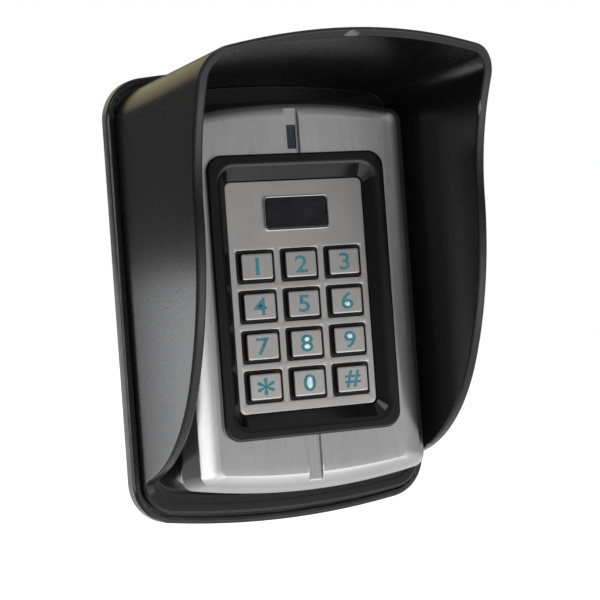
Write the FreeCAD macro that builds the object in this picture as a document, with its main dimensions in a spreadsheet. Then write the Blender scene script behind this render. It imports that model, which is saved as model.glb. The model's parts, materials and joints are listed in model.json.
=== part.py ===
import FreeCAD, Part
import math
import os
import re
import Sketcher

"""A keypad access reader inside a protective hood, as a wall-mounted assembly.

Frame: X to the right, +Y into the wall, +Z up. The origin is the centre of the guard base's
back face, on the wall. A depth is a distance in front of the wall, so it lies along -Y.
"""

SIZES = {
    # guard base: tray on the wall, with a raised rim round it
    "base_half_width": 52.0,
    "base_crown": 73.75,
    "base_top_rise": 4.2,
    "base_bottom_rise": 5.0,
    "base_corner": 13.4,
    "base_floor": 3.5,
    "base_rim_depth": 5.2,
    "base_rim_width": 2.1,
    "base_rim_round": 1.1,
    # guard hood
    "hood_half_width": 49.4,
    "hood_front_half_width": 48.3,
    "hood_crown": 70.2,
    "hood_front_crown": 75.1,
    "hood_rise": 4.0,
    "hood_front_rise": 6.1,
    "hood_corner": 10.5,
    "hood_front_corner": 9.5,
    "hood_wall": 3.2,
    "hood_roof": 2.6,
    "hood_reach": 85.0,
    "hood_flange": 3.6,
    "hood_lip": 7.5,
    "hood_skin": 1.0,
    "hood_waist_depth": 64.4,
    "hood_waist_height": 25.0,
    "hood_brow_radius": 75.0,
    "hood_upper_radius": 108.0,
    "hood_join_height": -25.0,
    "hood_lower_radius": 60.8,
    "hood_heel_radius": 4.0,
    "hood_rise_share": 0.87,
    "hood_opening_gap": 1.2,
    "hood_screw_across": 44.0,
    "hood_screw_height": 62.5,
    "hood_screw_slip": 0.25,
    "hood_seat_lip": 1.75,
    "hood_seat_depth": 1.6,
    "hood_head_sink": 0.2,
    "hood_head_lip": 1.5,
    "hood_tip_gap": 0.4,
    "pilot_radius": 1.25,
    # fixings
    "wall_hole_radius": 2.25,
    "wall_hole_spread": 60.0,
    "wall_hole_height": 100.0,
    "wall_sink_radius": 4.4,
    "wall_sink_depth": 1.8,
    "cable_hole_height": -22.0,
    "cable_hole_radius": 7.0,
    "grommet_bore": 3.2,
    "grommet_radius": 6.4,
    "grommet_waist_radius": 5.0,
    "grommet_flange": 1.5,
    "grommet_lip": 1.3,
    "plate_screw_spread": 30.0,
    "screw_slip": 0.05,
    "foot_depth": 12.0,
    "foot_front": 16.0,
    "foot_wide": 12.0,
    "foot_height": -59.4,
    "foot_thick": 1.6,
    "hook_across": 20.0,
    "hook_height": 55.2,
    "hook_depth": 7.0,
    "security_head_radius": 2.4,
    "security_way_radius": 1.7,
    "security_recess_radius": 2.7,
    "security_sink": 1.0,
    "security_inset": 0.2,
    "security_head_depth": 0.9,
    "security_length": 6.0,
    # reader shell
    "back_plate_depth": 5.0,
    "back_plate_side": 4.5,
    "back_plate_end": 5.0,
    "back_plate_rise": 3.4,
    "back_plate_corner": 4.0,
    "back_plate_slip": 0.3,
    "back_screw_head": 1.8,
    "back_screw_radius": 2.8,
    "back_screw_tip": 0.6,
    "bend_corner": 0.3,
    "foot_root": 4.0,
    "foot_root_rise": 1.2,
    "hook_wide": 8.0,
    "hook_thick": 1.4,
    "tamper_window": 3.0,
    "seal_depth": 4.4,
    "shell_half_width": 42.5,
    "shell_top": 61.0,
    "shell_bottom": -63.2,
    "shell_rise": 4.3,
    "shell_corner": 4.3,
    "shell_shoulder": 23.5,
    "shell_knee": 28.3,
    "shell_front": 30.5,
    "shell_wall": 2.2,
    "shell_rise_share": 0.9,
    "knee_half_width": 38.6,
    "knee_inset": 1.9,
    "knee_corner": 3.6,
    "knee_rise": 3.7,
    "face_corner": 2.4,
    "face_half_width": 32.0,
    "face_top": 54.9,
    "face_bottom": -57.1,
    "face_rise": 2.0,
    "groove_width": 4.6,
    "groove_depth": 1.0,
    "groove_length": 26.0,
    "groove_corner": 0.5,
    "groove_top": 54.0,
    "groove_bottom": -57.0,
    "pocket_step": 22.5,
    "pocket_half_width": 32.5,
    "pocket_rise": 2.4,
    "neck_back": 25.3,
    "pad_root": 0.5,
    "cover_boss_radius": 2.8,
    "cover_boss_skin": 1.0,
    "post_radius": 2.4,
    "post_pilot": 1.05,
    "post_root": 0.2,
    "post_skin": 3.0,
    "cover_back": 7.4,
    "cover_front": 9.2,
    "cover_gap": 0.25,
    "cover_top_inset": 2.6,
    "cover_bottom_inset": 5.0,
    "cover_top_rise": 3.9,
    "cover_bottom_rise": 3.0,
    "cover_window": 2.4,
    "cover_screw_slip": 0.1,
    "cover_screw_head": 1.4,
    "cover_screw_radius": 2.2,
    "cover_screw_length": 7.0,
    "cover_screw_across": 36.8,
    "cover_screw_top": 48.0,
    "cover_screw_bottom": -50.0,
    "tamper_across": 24.0,
    "tamper_height": 8.0,
    # bezel and keypad plate
    "bezel_half_width": 30.6,
    "bezel_top": 43.4,
    "bezel_bottom": -45.4,
    "bezel_corner": 5.4,
    "bezel_front": 32.3,
    "bezel_neck": 1.6,
    "bezel_fillet": 1.3,
    "bezel_land": 3.4,
    "bezel_seat": 29.3,
    "neck_slip": 0.1,
    "ledge_depth": 27.6,
    "ledge_thick": 1.0,
    "ledge_width": 0.6,
    "ledge_corner": 1.5,
    "plate_front": 28.8,
    "plate_half_width": 23.85,
    "plate_top": 35.15,
    "plate_bottom": -37.35,
    "plate_corner": 2.0,
    "plate_gap": 0.25,
    # keys
    "key_pitch": 15.14,
    "row_pitch": 12.5,
    "top_row": 8.5,
    "well_wide": 12.84,
    "well_high": 10.27,
    "well_corner": 0.9,
    "key_wide": 10.5,
    "key_high": 8.0,
    "key_corner": 0.7,
    "key_gap": 0.2,
    "key_foot": 22.0,
    "key_flange": 1.2,
    "key_flange_lip": 0.85,
    "cap_back": 29.8,
    "cap_front": 30.3,
    "guide_back": 23.4,
    "guide_collar": 28.2,
    "guide_half_width": 23.0,
    "guide_margin": 1.8,
    "guide_wall": 1.4,
    "guide_corner": 1.5,
    "guide_slip": 0.1,
    "mat_inset": 1.5,
    "mat_margin": 0.3,
    "mat_corner": 0.9,
    "mat_hole": 1.5,
    "cap_round": 0.2,
    "mat_depth": 20.7,
    "dome_radius": 3.2,
    # badge
    "badge_wide": 22.4,
    "badge_high": 10.9,
    "badge_height": 24.78,
    "badge_ring": 0.9,
    "badge_depth": 29.6,
    "badge_corner": 1.5,
    "badge_inner_corner": 0.8,
    "badge_round": 0.3,
    "badge_sink": 0.25,
    # window and light pipe
    "window_wide": 3.0,
    "window_high": 7.4,
    "window_height": 48.6,
    "window_sink": 1.6,
    "window_corner": 0.4,
    "lens_back": 27.7,
    "lens_slip": 0.1,
    "pipe_gap": 1.2,
    "pipe_inset": 0.8,
    # electronics
    "board_back": 17.9,
    "board_front": 19.5,
    "board_half_width": 33.0,
    "board_top": 53.0,
    "board_bottom": -55.0,
    "post_spread": 28.0,
    "post_top": 49.5,
    "post_bottom": -51.5,
    "coil_half_width": 32.0,
    "coil_width": 3.0,
    "coil_depth": 22.0,
}

doc = FreeCAD.newDocument("keypad_access_reader")
sheet = doc.addObject("Spreadsheet::Sheet", "Sizes")
for row, (alias, amount) in enumerate(SIZES.items(), start=1):
    sheet.set("A" + str(row), alias)
    sheet.set("B" + str(row), str(amount))
    sheet.setAlias("B" + str(row), alias)
doc.recompute()

ALONG_NORMAL = FreeCAD.Rotation(FreeCAD.Vector(1, 0, 0), 90)
NODES = []


def formula(text):
    """A formula in the sizes' own names, with each name made a reference to its cell."""
    return re.sub(
        r"[a-z][a-z_]*", lambda m: "Sizes." + m.group() if m.group() in SIZES else m.group(), str(text)
    )


def amount_of(text):
    """The value that a formula in the sizes' names has now."""
    return float(sheet.evalExpression(formula(text)))


def bind(thing, prop, text):
    thing.setExpression(prop, formula(text))


def keep(thing, label):
    """Give a finished sub-part the label that names its file."""
    thing.Label = label
    NODES.append(thing)
    return thing


def limit(sketch, kind, *parts):
    """Add one constraint; a formula in last place becomes its bound value."""
    if isinstance(parts[-1], str):
        place = sketch.addConstraint(Sketcher.Constraint(kind, *parts[:-1], amount_of(parts[-1])))
        bind(sketch, "Constraints[%d]" % place, parts[-1])
    else:
        sketch.addConstraint(Sketcher.Constraint(kind, *parts))


def arc(centre_x, centre_z, radius, start, end):
    """A circular arc drawn anticlockwise between two angles in radians."""
    circle = Part.Circle(FreeCAD.Vector(centre_x, centre_z, 0), FreeCAD.Vector(0, 0, 1), radius)
    return Part.ArcOfCircle(circle, start, end)


def line(start, end):
    return Part.LineSegment(FreeCAD.Vector(*start, 0), FreeCAD.Vector(*end, 0))


def draw_arch(sketch, half_width, top, bottom, top_rise, bottom_rise, corner):
    """A rounded outline with upright sides and a bowed top and bottom.

    Each bow is an arc through its crown that falls by its rise at the full half width.
    """
    wide, high, low, round_by = (amount_of(t) for t in (half_width, top, bottom, corner))
    rises = [amount_of(t) for t in (top_rise, bottom_rise)]
    radii = [(wide**2 + rise**2) / (2 * rise) for rise in rises]
    bows = [high - radii[0], low + radii[1]]
    inner = [math.sqrt((radius - round_by) ** 2 - (wide - round_by) ** 2) for radius in radii]
    lean = [math.atan2(reach, wide - round_by) for reach in inner]
    top_z, bottom_z = bows[0] + inner[0], bows[1] - inner[1]
    half = math.pi / 2
    shapes = [
        line((wide, bottom_z), (wide, top_z)),
        arc(wide - round_by, top_z, round_by, 0, lean[0]),
        arc(0, bows[0], radii[0], lean[0], math.pi - lean[0]),
        arc(round_by - wide, top_z, round_by, math.pi - lean[0], math.pi),
        line((-wide, top_z), (-wide, bottom_z)),
        arc(round_by - wide, bottom_z, round_by, math.pi, math.pi + lean[1]),
        arc(0, bows[1], radii[1], math.pi + lean[1], 4 * half - lean[1]),
        arc(wide - round_by, bottom_z, round_by, 4 * half - lean[1], 4 * half),
    ]
    first = sketch.addGeometry(shapes[0])
    for shape in shapes[1:]:
        sketch.addGeometry(shape)
    for step in range(8):
        limit(sketch, "Tangent", first + step, 2, first + (step + 1) % 8, 1)
    limit(sketch, "Vertical", first)
    limit(sketch, "Vertical", first + 4)
    limit(sketch, "DistanceX", -1, 1, first, 1, half_width)
    limit(sketch, "DistanceX", first + 4, 1, -1, 1, half_width)
    for place, crown, rise, sign in ((2, top, top_rise, "-"), (6, bottom, bottom_rise, "+")):
        radius = "((%s)^2 + (%s)^2) / (2 * (%s))" % (half_width, rise, rise)
        limit(sketch, "PointOnObject", first + place, 3, -2)
        limit(sketch, "Radius", first + place, radius)
        limit(sketch, "DistanceY", -1, 1, first + place, 3, "(%s) %s (%s)" % (crown, sign, radius))
    for place in (1, 3, 5, 7):
        limit(sketch, "Radius", first + place, corner)


def draw_panel(sketch, wide, high, corner, centre_x="0", centre_z="0"):
    """A rectangle with rounded corners about a centre."""
    half_x, half_z, round_by = amount_of(wide) / 2, amount_of(high) / 2, amount_of(corner)
    mid_x, mid_z = amount_of(centre_x), amount_of(centre_z)
    half = math.pi / 2
    in_x, in_z = half_x - round_by, half_z - round_by
    first = sketch.addGeometry(line((mid_x + half_x, mid_z - in_z), (mid_x + half_x, mid_z + in_z)))
    sketch.addGeometry(arc(mid_x + in_x, mid_z + in_z, round_by, 0, half))
    sketch.addGeometry(line((mid_x + in_x, mid_z + half_z), (mid_x - in_x, mid_z + half_z)))
    sketch.addGeometry(arc(mid_x - in_x, mid_z + in_z, round_by, half, 2 * half))
    sketch.addGeometry(line((mid_x - half_x, mid_z + in_z), (mid_x - half_x, mid_z - in_z)))
    sketch.addGeometry(arc(mid_x - in_x, mid_z - in_z, round_by, 2 * half, 3 * half))
    sketch.addGeometry(line((mid_x - in_x, mid_z - half_z), (mid_x + in_x, mid_z - half_z)))
    sketch.addGeometry(arc(mid_x + in_x, mid_z - in_z, round_by, 3 * half, 4 * half))
    for step in range(8):
        limit(sketch, "Tangent", first + step, 2, first + (step + 1) % 8, 1)
    for side, way in ((0, "Vertical"), (4, "Vertical"), (2, "Horizontal"), (6, "Horizontal")):
        limit(sketch, way, first + side)
    limit(sketch, "DistanceX", -1, 1, first, 1, "(%s) + (%s) / 2" % (centre_x, wide))
    limit(sketch, "DistanceX", first + 4, 1, first, 1, wide)
    limit(sketch, "DistanceY", -1, 1, first + 2, 1, "(%s) + (%s) / 2" % (centre_z, high))
    limit(sketch, "DistanceY", first + 6, 1, first + 2, 1, high)
    for place in (1, 3, 5, 7):
        limit(sketch, "Radius", first + place, corner)


def draw_circles(sketch, radius, places):
    """Equal circles, each place a pair of formulas for x and z."""
    for across, up in places:
        centre = FreeCAD.Vector(amount_of(across), amount_of(up), 0)
        ring = sketch.addGeometry(Part.Circle(centre, FreeCAD.Vector(0, 0, 1), amount_of(radius)))
        limit(sketch, "Radius", ring, radius)
        limit(sketch, "DistanceX", -1, 1, ring, 3, across)
        limit(sketch, "DistanceY", -1, 1, ring, 3, up)


def corners_of(across, up, down=None):
    """Four places mirrored about the middle, as formulas."""
    low = down if down is not None else "-(%s)" % up
    return [(side + "(%s)" % across, level) for side in ("", "-") for level in (up, low)]


def new_body(label):
    return keep(doc.addObject("PartDesign::Body", label), label)


def new_sketch(body, depth, draw, *sizes):
    """A sketch that faces the viewer, at a depth in front of the wall."""
    plane = next(f for f in body.Origin.OriginFeatures if f.Role == "XZ_Plane")
    sketch = body.newObject("Sketcher::SketchObject", body.Label + "_sketch")
    sketch.AttachmentSupport = [(plane, "")]
    sketch.MapMode = "FlatFace"
    bind(sketch, "AttachmentOffset.Base.z", depth)
    draw(sketch, *sizes)
    return sketch


def pad(body, back, front, draw, *sizes):
    """Add a slab between two depths with the drawn outline."""
    made = body.newObject("PartDesign::Pad", body.Label + "_pad")
    made.Profile = new_sketch(body, back, draw, *sizes)
    bind(made, "Length", "(%s) - (%s)" % (front, back))
    doc.recompute()
    return made


def cut(body, back, front, draw, *sizes):
    """Take away the drawn outline between two depths, and check that it removed material."""
    before = body.Shape.Volume
    made = body.newObject("PartDesign::Pocket", body.Label + "_pocket")
    made.Profile = new_sketch(body, front, draw, *sizes)
    bind(made, "Length", "(%s) - (%s)" % (front, back))
    doc.recompute()
    if not body.Shape.Volume < before:
        raise ValueError(body.Label + ": a pocket cut nothing")
    return made


def loft(body, kind, sections, draw=draw_arch):
    """A ruled loft through outlines, each section a depth and the sizes of its drawing."""
    sketches = [new_sketch(body, depth, draw, *sizes) for depth, sizes in sections]
    doc.recompute()
    made = body.newObject("PartDesign::" + kind, body.Label + "_loft")
    made.Profile = sketches[0]
    made.Sections = sketches[1:]
    made.Ruled = True
    doc.recompute()
    return made


def round_edges(body, base, depth, radius):
    """Round every edge that lies flat at one depth."""
    level = -amount_of(depth)
    names = []
    for number, edge in enumerate(base.Shape.Edges, start=1):
        box = edge.BoundBox
        if abs(box.YMin - level) < 1e-4 and abs(box.YMax - level) < 1e-4:
            names.append("Edge%d" % number)
    made = body.newObject("PartDesign::Fillet", body.Label + "_fillet")
    made.Base = (base, names)
    bind(made, "Radius", radius)
    doc.recompute()
    return made


def rod(label, back, front, radius, place=("0", "0")):
    """A round bar between two depths."""
    made = doc.addObject("Part::Cylinder", label)
    made.Placement = FreeCAD.Placement(FreeCAD.Vector(), ALONG_NORMAL)
    bind(made, "Radius", radius)
    bind(made, "Height", "(%s) - (%s)" % (front, back))
    bind(made, "Placement.Base.x", place[0])
    bind(made, "Placement.Base.y", "-(%s)" % back)
    bind(made, "Placement.Base.z", place[1])
    return made


def upright(label, radius, low, height):
    """A round bar along Z in line with the foot's screw."""
    made = doc.addObject("Part::Cylinder", label)
    bind(made, "Radius", radius)
    bind(made, "Height", height)
    bind(made, "Placement.Base.y", "-foot_depth")
    bind(made, "Placement.Base.z", low)
    return made


def block(label, back, front, wide, high, place=("0", "0")):
    """A square-edged block between two depths, centred on a place."""
    made = doc.addObject("Part::Box", label)
    bind(made, "Length", wide)
    bind(made, "Width", "(%s) - (%s)" % (front, back))
    bind(made, "Height", high)
    bind(made, "Placement.Base.x", "(%s) - (%s) / 2" % (place[0], wide))
    bind(made, "Placement.Base.y", "-(%s)" % front)
    bind(made, "Placement.Base.z", "(%s) - (%s) / 2" % (place[1], high))
    return made


def group(label, pieces):
    """Several separate solids of one kind, kept together as one sub-part."""
    made = doc.addObject("Part::Compound", label)
    made.Links = pieces
    return keep(made, label)


def joined(label, pieces):
    made = doc.addObject("Part::MultiFuse", label)
    made.Shapes = pieces
    return made


def screws(label, head, shank, places):
    """Screws along the depth; head and shank are each a back depth, front depth and radius."""
    made = []
    for number, place in enumerate(places):
        name = "%s_%d" % (label, number)
        parts = [rod(name + "_head", *head, place), rod(name + "_shank", *shank, place)]
        made.append(joined(name, parts))
    group(label, made)


def guard_base():
    body = new_body("guard_base")
    outline = ("base_crown", "-base_crown", "base_top_rise", "base_bottom_rise", "base_corner")
    base = pad(body, "0", "base_rim_depth", draw_arch, "base_half_width", *outline)
    round_edges(body, base, "base_rim_depth", "base_rim_round")
    inset = "base_rim_width"
    cut(
        body, "base_floor", "base_rim_depth", draw_arch,
        "base_half_width - " + inset, "base_crown - " + inset, inset + " - base_crown",
        "base_top_rise * 0.92", "base_bottom_rise * 0.92", "base_corner - " + inset,
    )
    wall_holes = corners_of("wall_hole_spread / 2", "wall_hole_height / 2")
    cut(body, "0", "base_floor", draw_circles, "wall_hole_radius", wall_holes)
    cut(body, "base_floor - wall_sink_depth", "base_floor", draw_circles, "wall_sink_radius", wall_holes)
    cut(body, "0", "base_floor", draw_circles, "cable_hole_radius", [("0", "cable_hole_height")])
    hood_holes = corners_of("hood_screw_across", "hood_screw_height")
    cut(body, "0", "base_floor", draw_circles, "pilot_radius + hood_screw_slip", hood_holes)
    cut(body, "0", "hood_seat_depth", draw_circles, "pilot_radius + hood_seat_lip", hood_holes)
    plate_holes = corners_of("plate_screw_spread", "plate_screw_spread")
    cut(body, "0", "base_floor", draw_circles, "pilot_radius", plate_holes)


def draw_profile(sketch):
    """The space in front of the hood's edge, seen from the side.

    The edge runs up along the lip, round a small heel, through two bulging arcs to its waist and
    through one hollow arc to the brow. Sketch x is toward the wall, so depths are negative.
    """
    lip, waist = amount_of("-hood_lip"), amount_of("-hood_waist_depth")
    level, join = amount_of("hood_waist_height"), amount_of("hood_join_height")
    brow, upper, lower, heel = (
        amount_of("hood_%s_radius" % part) for part in ("brow", "upper", "lower", "heel")
    )
    far, reach = 95.0, -140.0
    upper_x = waist + upper
    sweep = math.asin((level - join) / upper)
    join_x = upper_x - upper * math.cos(sweep)
    lower_x = join_x + lower * math.cos(sweep)
    lower_z = join + lower * math.sin(sweep)
    heel_x = lip - heel
    drop = math.acos((lower_x - heel_x) / (lower + heel))
    heel_z = lower_z - (lower + heel) * math.sin(drop)
    rise = math.asin((far - level) / brow) if far - level < brow else math.radians(70)
    brow_x = waist - brow
    top_x, top_z = brow_x + brow * math.cos(rise), level + brow * math.sin(rise)
    shapes = [
        line((lip, -far), (lip, heel_z)),
        arc(heel_x, heel_z, heel, 0, drop),
        arc(lower_x, lower_z, lower, math.pi + sweep, math.pi + drop),
        arc(upper_x, level, upper, math.pi, math.pi + sweep),
        arc(brow_x, level, brow, 0, rise),
        line((top_x, top_z), (reach, top_z)),
        line((reach, top_z), (reach, -far)),
        line((reach, -far), (lip, -far)),
    ]
    for shape in shapes:
        sketch.addGeometry(shape)
    for ends in ((0, 2, 1, 1), (1, 2, 2, 2), (2, 1, 3, 2), (3, 1, 4, 1)):
        limit(sketch, "Tangent", *ends)
    for ends in ((4, 2, 5, 1), (5, 2, 6, 1), (6, 2, 7, 1), (7, 2, 0, 1)):
        limit(sketch, "Coincident", *ends)
    limit(sketch, "Vertical", 0)
    limit(sketch, "Horizontal", 5)
    limit(sketch, "Vertical", 6)
    limit(sketch, "Horizontal", 7)
    limit(sketch, "DistanceX", -1, 1, 0, 1, "-hood_lip")
    limit(sketch, "DistanceY", -1, 1, 0, 1, "-%g" % far)
    limit(sketch, "Radius", 1, "hood_heel_radius")
    limit(sketch, "Radius", 2, "hood_lower_radius")
    limit(sketch, "Radius", 3, "hood_upper_radius")
    limit(sketch, "Radius", 4, "hood_brow_radius")
    limit(sketch, "DistanceY", -1, 1, 3, 3, "hood_waist_height")
    limit(sketch, "DistanceX", -1, 1, 3, 3, "hood_upper_radius - hood_waist_depth")
    limit(sketch, "DistanceY", -1, 1, 3, 2, "hood_join_height")
    limit(sketch, "DistanceY", -1, 1, 4, 3, "hood_waist_height")
    limit(sketch, "DistanceY", -1, 1, 4, 2, "%g" % top_z)
    limit(sketch, "DistanceX", -1, 1, 6, 1, "%g" % reach)


def guard_hood():
    body = new_body("guard_hood")
    outer_back = (
        "hood_half_width", "hood_crown", "-hood_crown", "hood_rise", "hood_rise", "hood_corner",
    )
    outer_front = (
        "hood_front_half_width", "hood_front_crown", "-hood_crown", "hood_front_rise", "hood_rise",
        "hood_front_corner",
    )
    inner_back, inner_front = (
        (
            sizes[0] + " - hood_wall", sizes[1] + " - hood_roof", "hood_wall - hood_crown",
            sizes[3] + " * hood_rise_share", "hood_rise * hood_rise_share", sizes[5] + " - hood_wall",
        )
        for sizes in (outer_back, outer_front)
    )
    loft(body, "AdditiveLoft", [("base_floor", outer_back), ("hood_reach", outer_front)])
    loft(
        body, "SubtractiveLoft",
        [("base_floor + hood_flange", inner_back), ("hood_reach", inner_front)],
    )
    cut(
        body, "base_floor", "base_floor + hood_flange", draw_arch,
        "shell_half_width + hood_opening_gap", "shell_top + hood_opening_gap",
        "shell_bottom - hood_opening_gap", "shell_rise", "shell_rise", "shell_corner + hood_opening_gap / 2",
    )
    before = body.Shape.Volume
    trim = body.newObject("PartDesign::Pocket", "guard_hood_trim")
    side = next(f for f in body.Origin.OriginFeatures if f.Role == "YZ_Plane")
    profile = body.newObject("Sketcher::SketchObject", "guard_hood_side")
    profile.AttachmentSupport = [(side, "")]
    profile.MapMode = "FlatFace"
    draw_profile(profile)
    trim.Profile = profile
    trim.SideType = "Symmetric"
    bind(trim, "Length", "hood_half_width * 4")
    doc.recompute()
    if not body.Shape.Volume < before * 0.9:
        raise ValueError("the hood's side profile cut nothing")
    screw_holes = corners_of("hood_screw_across", "hood_screw_height")
    cut(body, "base_floor", "hood_lip - hood_skin", draw_circles, "pilot_radius", screw_holes)


def back_plate():
    body = new_body("back_plate")
    pad(
        body, "base_floor", "back_plate_depth", draw_arch,
        "shell_half_width - back_plate_side", "shell_top - back_plate_end",
        "shell_bottom + back_plate_end", "back_plate_rise", "back_plate_rise", "back_plate_corner",
    )
    cut(
        body, "base_floor", "back_plate_depth", draw_circles, "cable_hole_radius",
        [("0", "cable_hole_height")],
    )
    plate_holes = corners_of("plate_screw_spread", "plate_screw_spread")
    cut(body, "base_floor", "back_plate_depth", draw_circles, "pilot_radius + back_plate_slip", plate_holes)
    tamper = [("tamper_across", "tamper_height")]
    cut(body, "base_floor", "back_plate_depth", draw_circles, "tamper_window", tamper)
    foot = ("foot_wide", "foot_thick", "bend_corner", "0", "foot_height")
    pad(body, "base_floor", "foot_front", draw_panel, *foot)
    pad(
        body, "base_floor", "back_plate_depth", draw_panel, "foot_wide", "foot_root", "bend_corner", "0",
        "foot_height + foot_root_rise",
    )
    for across in ("-hook_across", "hook_across"):
        hook = ("hook_wide", "hook_thick", "bend_corner", across, "hook_height")
        pad(body, "base_floor", "hook_depth", draw_panel, *hook)


def back_plate_tapped():
    """The turned-up foot's hole for the security screw, along Z."""
    plate = NODES.pop()
    made = doc.addObject("Part::Cut", "back_plate_tapped")
    plate.Label = "back_plate_blank"
    made.Base = plate
    hole = doc.addObject("Part::Cylinder", "foot_hole")
    bind(hole, "Radius", "pilot_radius")
    bind(hole, "Height", "foot_thick * 2.5")
    bind(hole, "Placement.Base.y", "-foot_depth")
    bind(hole, "Placement.Base.z", "foot_height - foot_thick")
    made.Tool = hole
    keep(made, "back_plate")


def cable_grommet():
    place = ("0", "cable_hole_height")
    outer = joined(
        "grommet_solid",
        [
            rod("grommet_back", "cover_back - grommet_flange", "cover_back", "grommet_radius", place),
            rod("grommet_waist", "cover_back", "cover_front", "grommet_waist_radius", place),
            rod("grommet_front", "cover_front", "cover_front + grommet_lip", "grommet_radius", place),
        ],
    )
    made = doc.addObject("Part::Cut", "cable_grommet")
    made.Base = outer
    made.Tool = rod("grommet_hole", "cover_back * 0.5", "cover_front * 1.5", "grommet_bore", place)
    keep(made, "cable_grommet")


def rear_gasket():
    body = new_body("rear_gasket")
    shape = ("shell_top", "shell_bottom", "shell_rise", "shell_rise", "shell_corner")
    pad(body, "base_floor", "seal_depth", draw_arch, "shell_half_width", *shape)
    cut(
        body, "base_floor", "seal_depth", draw_arch, "shell_half_width - shell_wall",
        "shell_top - shell_wall", "shell_bottom + shell_wall", "shell_rise * shell_rise_share",
        "shell_rise * shell_rise_share",
        "shell_corner - shell_wall",
    )


def rear_cover():
    body = new_body("rear_cover")
    pad(
        body, "cover_back", "cover_front", draw_arch, "shell_half_width - shell_wall - cover_gap",
        "shell_top - cover_top_inset", "shell_bottom + cover_bottom_inset", "cover_top_rise",
        "cover_bottom_rise", "shell_wall",
    )
    cable = [("0", "cable_hole_height")]
    cut(body, "cover_back", "cover_front", draw_circles, "grommet_waist_radius", cable)
    tamper = [("tamper_across", "tamper_height")]
    cut(body, "cover_back", "cover_front", draw_circles, "cover_window", tamper)
    bosses = corners_of("cover_screw_across", "cover_screw_top", "cover_screw_bottom")
    cut(body, "cover_back", "cover_front", draw_circles, "pilot_radius + cover_screw_slip", bosses)


def front_housing():
    body = new_body("front_housing")
    side = (
        "shell_half_width", "shell_top", "shell_bottom", "shell_rise", "shell_rise", "shell_corner",
    )
    knee = (
        "knee_half_width", "shell_top - knee_inset", "shell_bottom + knee_inset", "knee_rise",
        "knee_rise", "knee_corner",
    )
    face = (
        "face_half_width", "face_top", "face_bottom", "face_rise", "face_rise", "face_corner",
    )
    pad(body, "seal_depth", "shell_shoulder", draw_arch, *side)
    loft(body, "AdditiveLoft", [("shell_shoulder", side), ("shell_knee", knee)])
    loft(body, "AdditiveLoft", [("shell_knee", knee), ("shell_front", face)])
    cut(
        body, "seal_depth", "pocket_step", draw_arch, "shell_half_width - shell_wall",
        "shell_top - shell_wall", "shell_bottom + shell_wall", "shell_rise * shell_rise_share",
        "shell_rise * shell_rise_share",
        "shell_corner - shell_wall",
    )
    cut(
        body, "pocket_step", "shell_front - shell_wall", draw_arch, "pocket_half_width",
        "face_top", "face_bottom", "pocket_rise", "pocket_rise", "face_corner / 2",
    )
    bosses = corners_of("cover_screw_across", "cover_screw_top", "cover_screw_bottom")
    pad(body, "cover_front", "pocket_step + pad_root", draw_circles, "cover_boss_radius", bosses)
    posts = corners_of("post_spread", "post_top", "post_bottom")
    pad(body, "board_front", "shell_front - shell_wall + post_root", draw_circles, "post_radius", posts)
    cut(
        body, "cover_front", "pocket_step - cover_boss_skin", draw_circles,
        "pilot_radius - cover_screw_slip", bosses,
    )
    cut(body, "board_front", "shell_front - post_skin", draw_circles, "post_pilot", posts)
    neck = "bezel_neck"
    cut(
        body, "neck_back", "shell_front", draw_panel, "2 * (bezel_half_width - %s)" % neck,
        "bezel_top - bezel_bottom - 2 * " + neck, "bezel_corner - " + neck, "0",
        "(bezel_top + bezel_bottom) / 2",
    )
    window = ("window_wide", "window_high", "window_corner", "0", "window_height")
    cut(body, "neck_back", "shell_front", draw_panel, *window)
    groove = "shell_front - groove_depth"
    for middle in ("groove_top", "groove_bottom"):
        slot = ("groove_width", "groove_length", "groove_corner", "0", middle)
        cut(body, groove, "shell_front", draw_panel, *slot)


def front_housing_drilled():
    """The recessed hole in the bottom edge for the security screw, along Z."""
    shell = NODES.pop()
    shell.Label = "front_housing_blank"
    made = doc.addObject("Part::Cut", "front_housing_drilled")
    made.Base = shell
    bores = [
        upright("housing_way", "security_way_radius", "shell_bottom + security_sink", "3"),
        upright("housing_recess", "security_recess_radius", "shell_bottom - 0.8", "1.9"),
    ]
    made.Tool = joined("housing_bores", bores)
    keep(made, "front_housing")


def security_screw():
    head = upright(
        "security_head", "security_head_radius", "shell_bottom + security_inset", "security_head_depth"
    )
    shank = upright(
        "security_shank", "pilot_radius - screw_slip",
        "shell_bottom + security_inset + security_head_depth", "security_length",
    )
    keep(joined("security_screw", [head, shank]), "security_screw")


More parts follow.
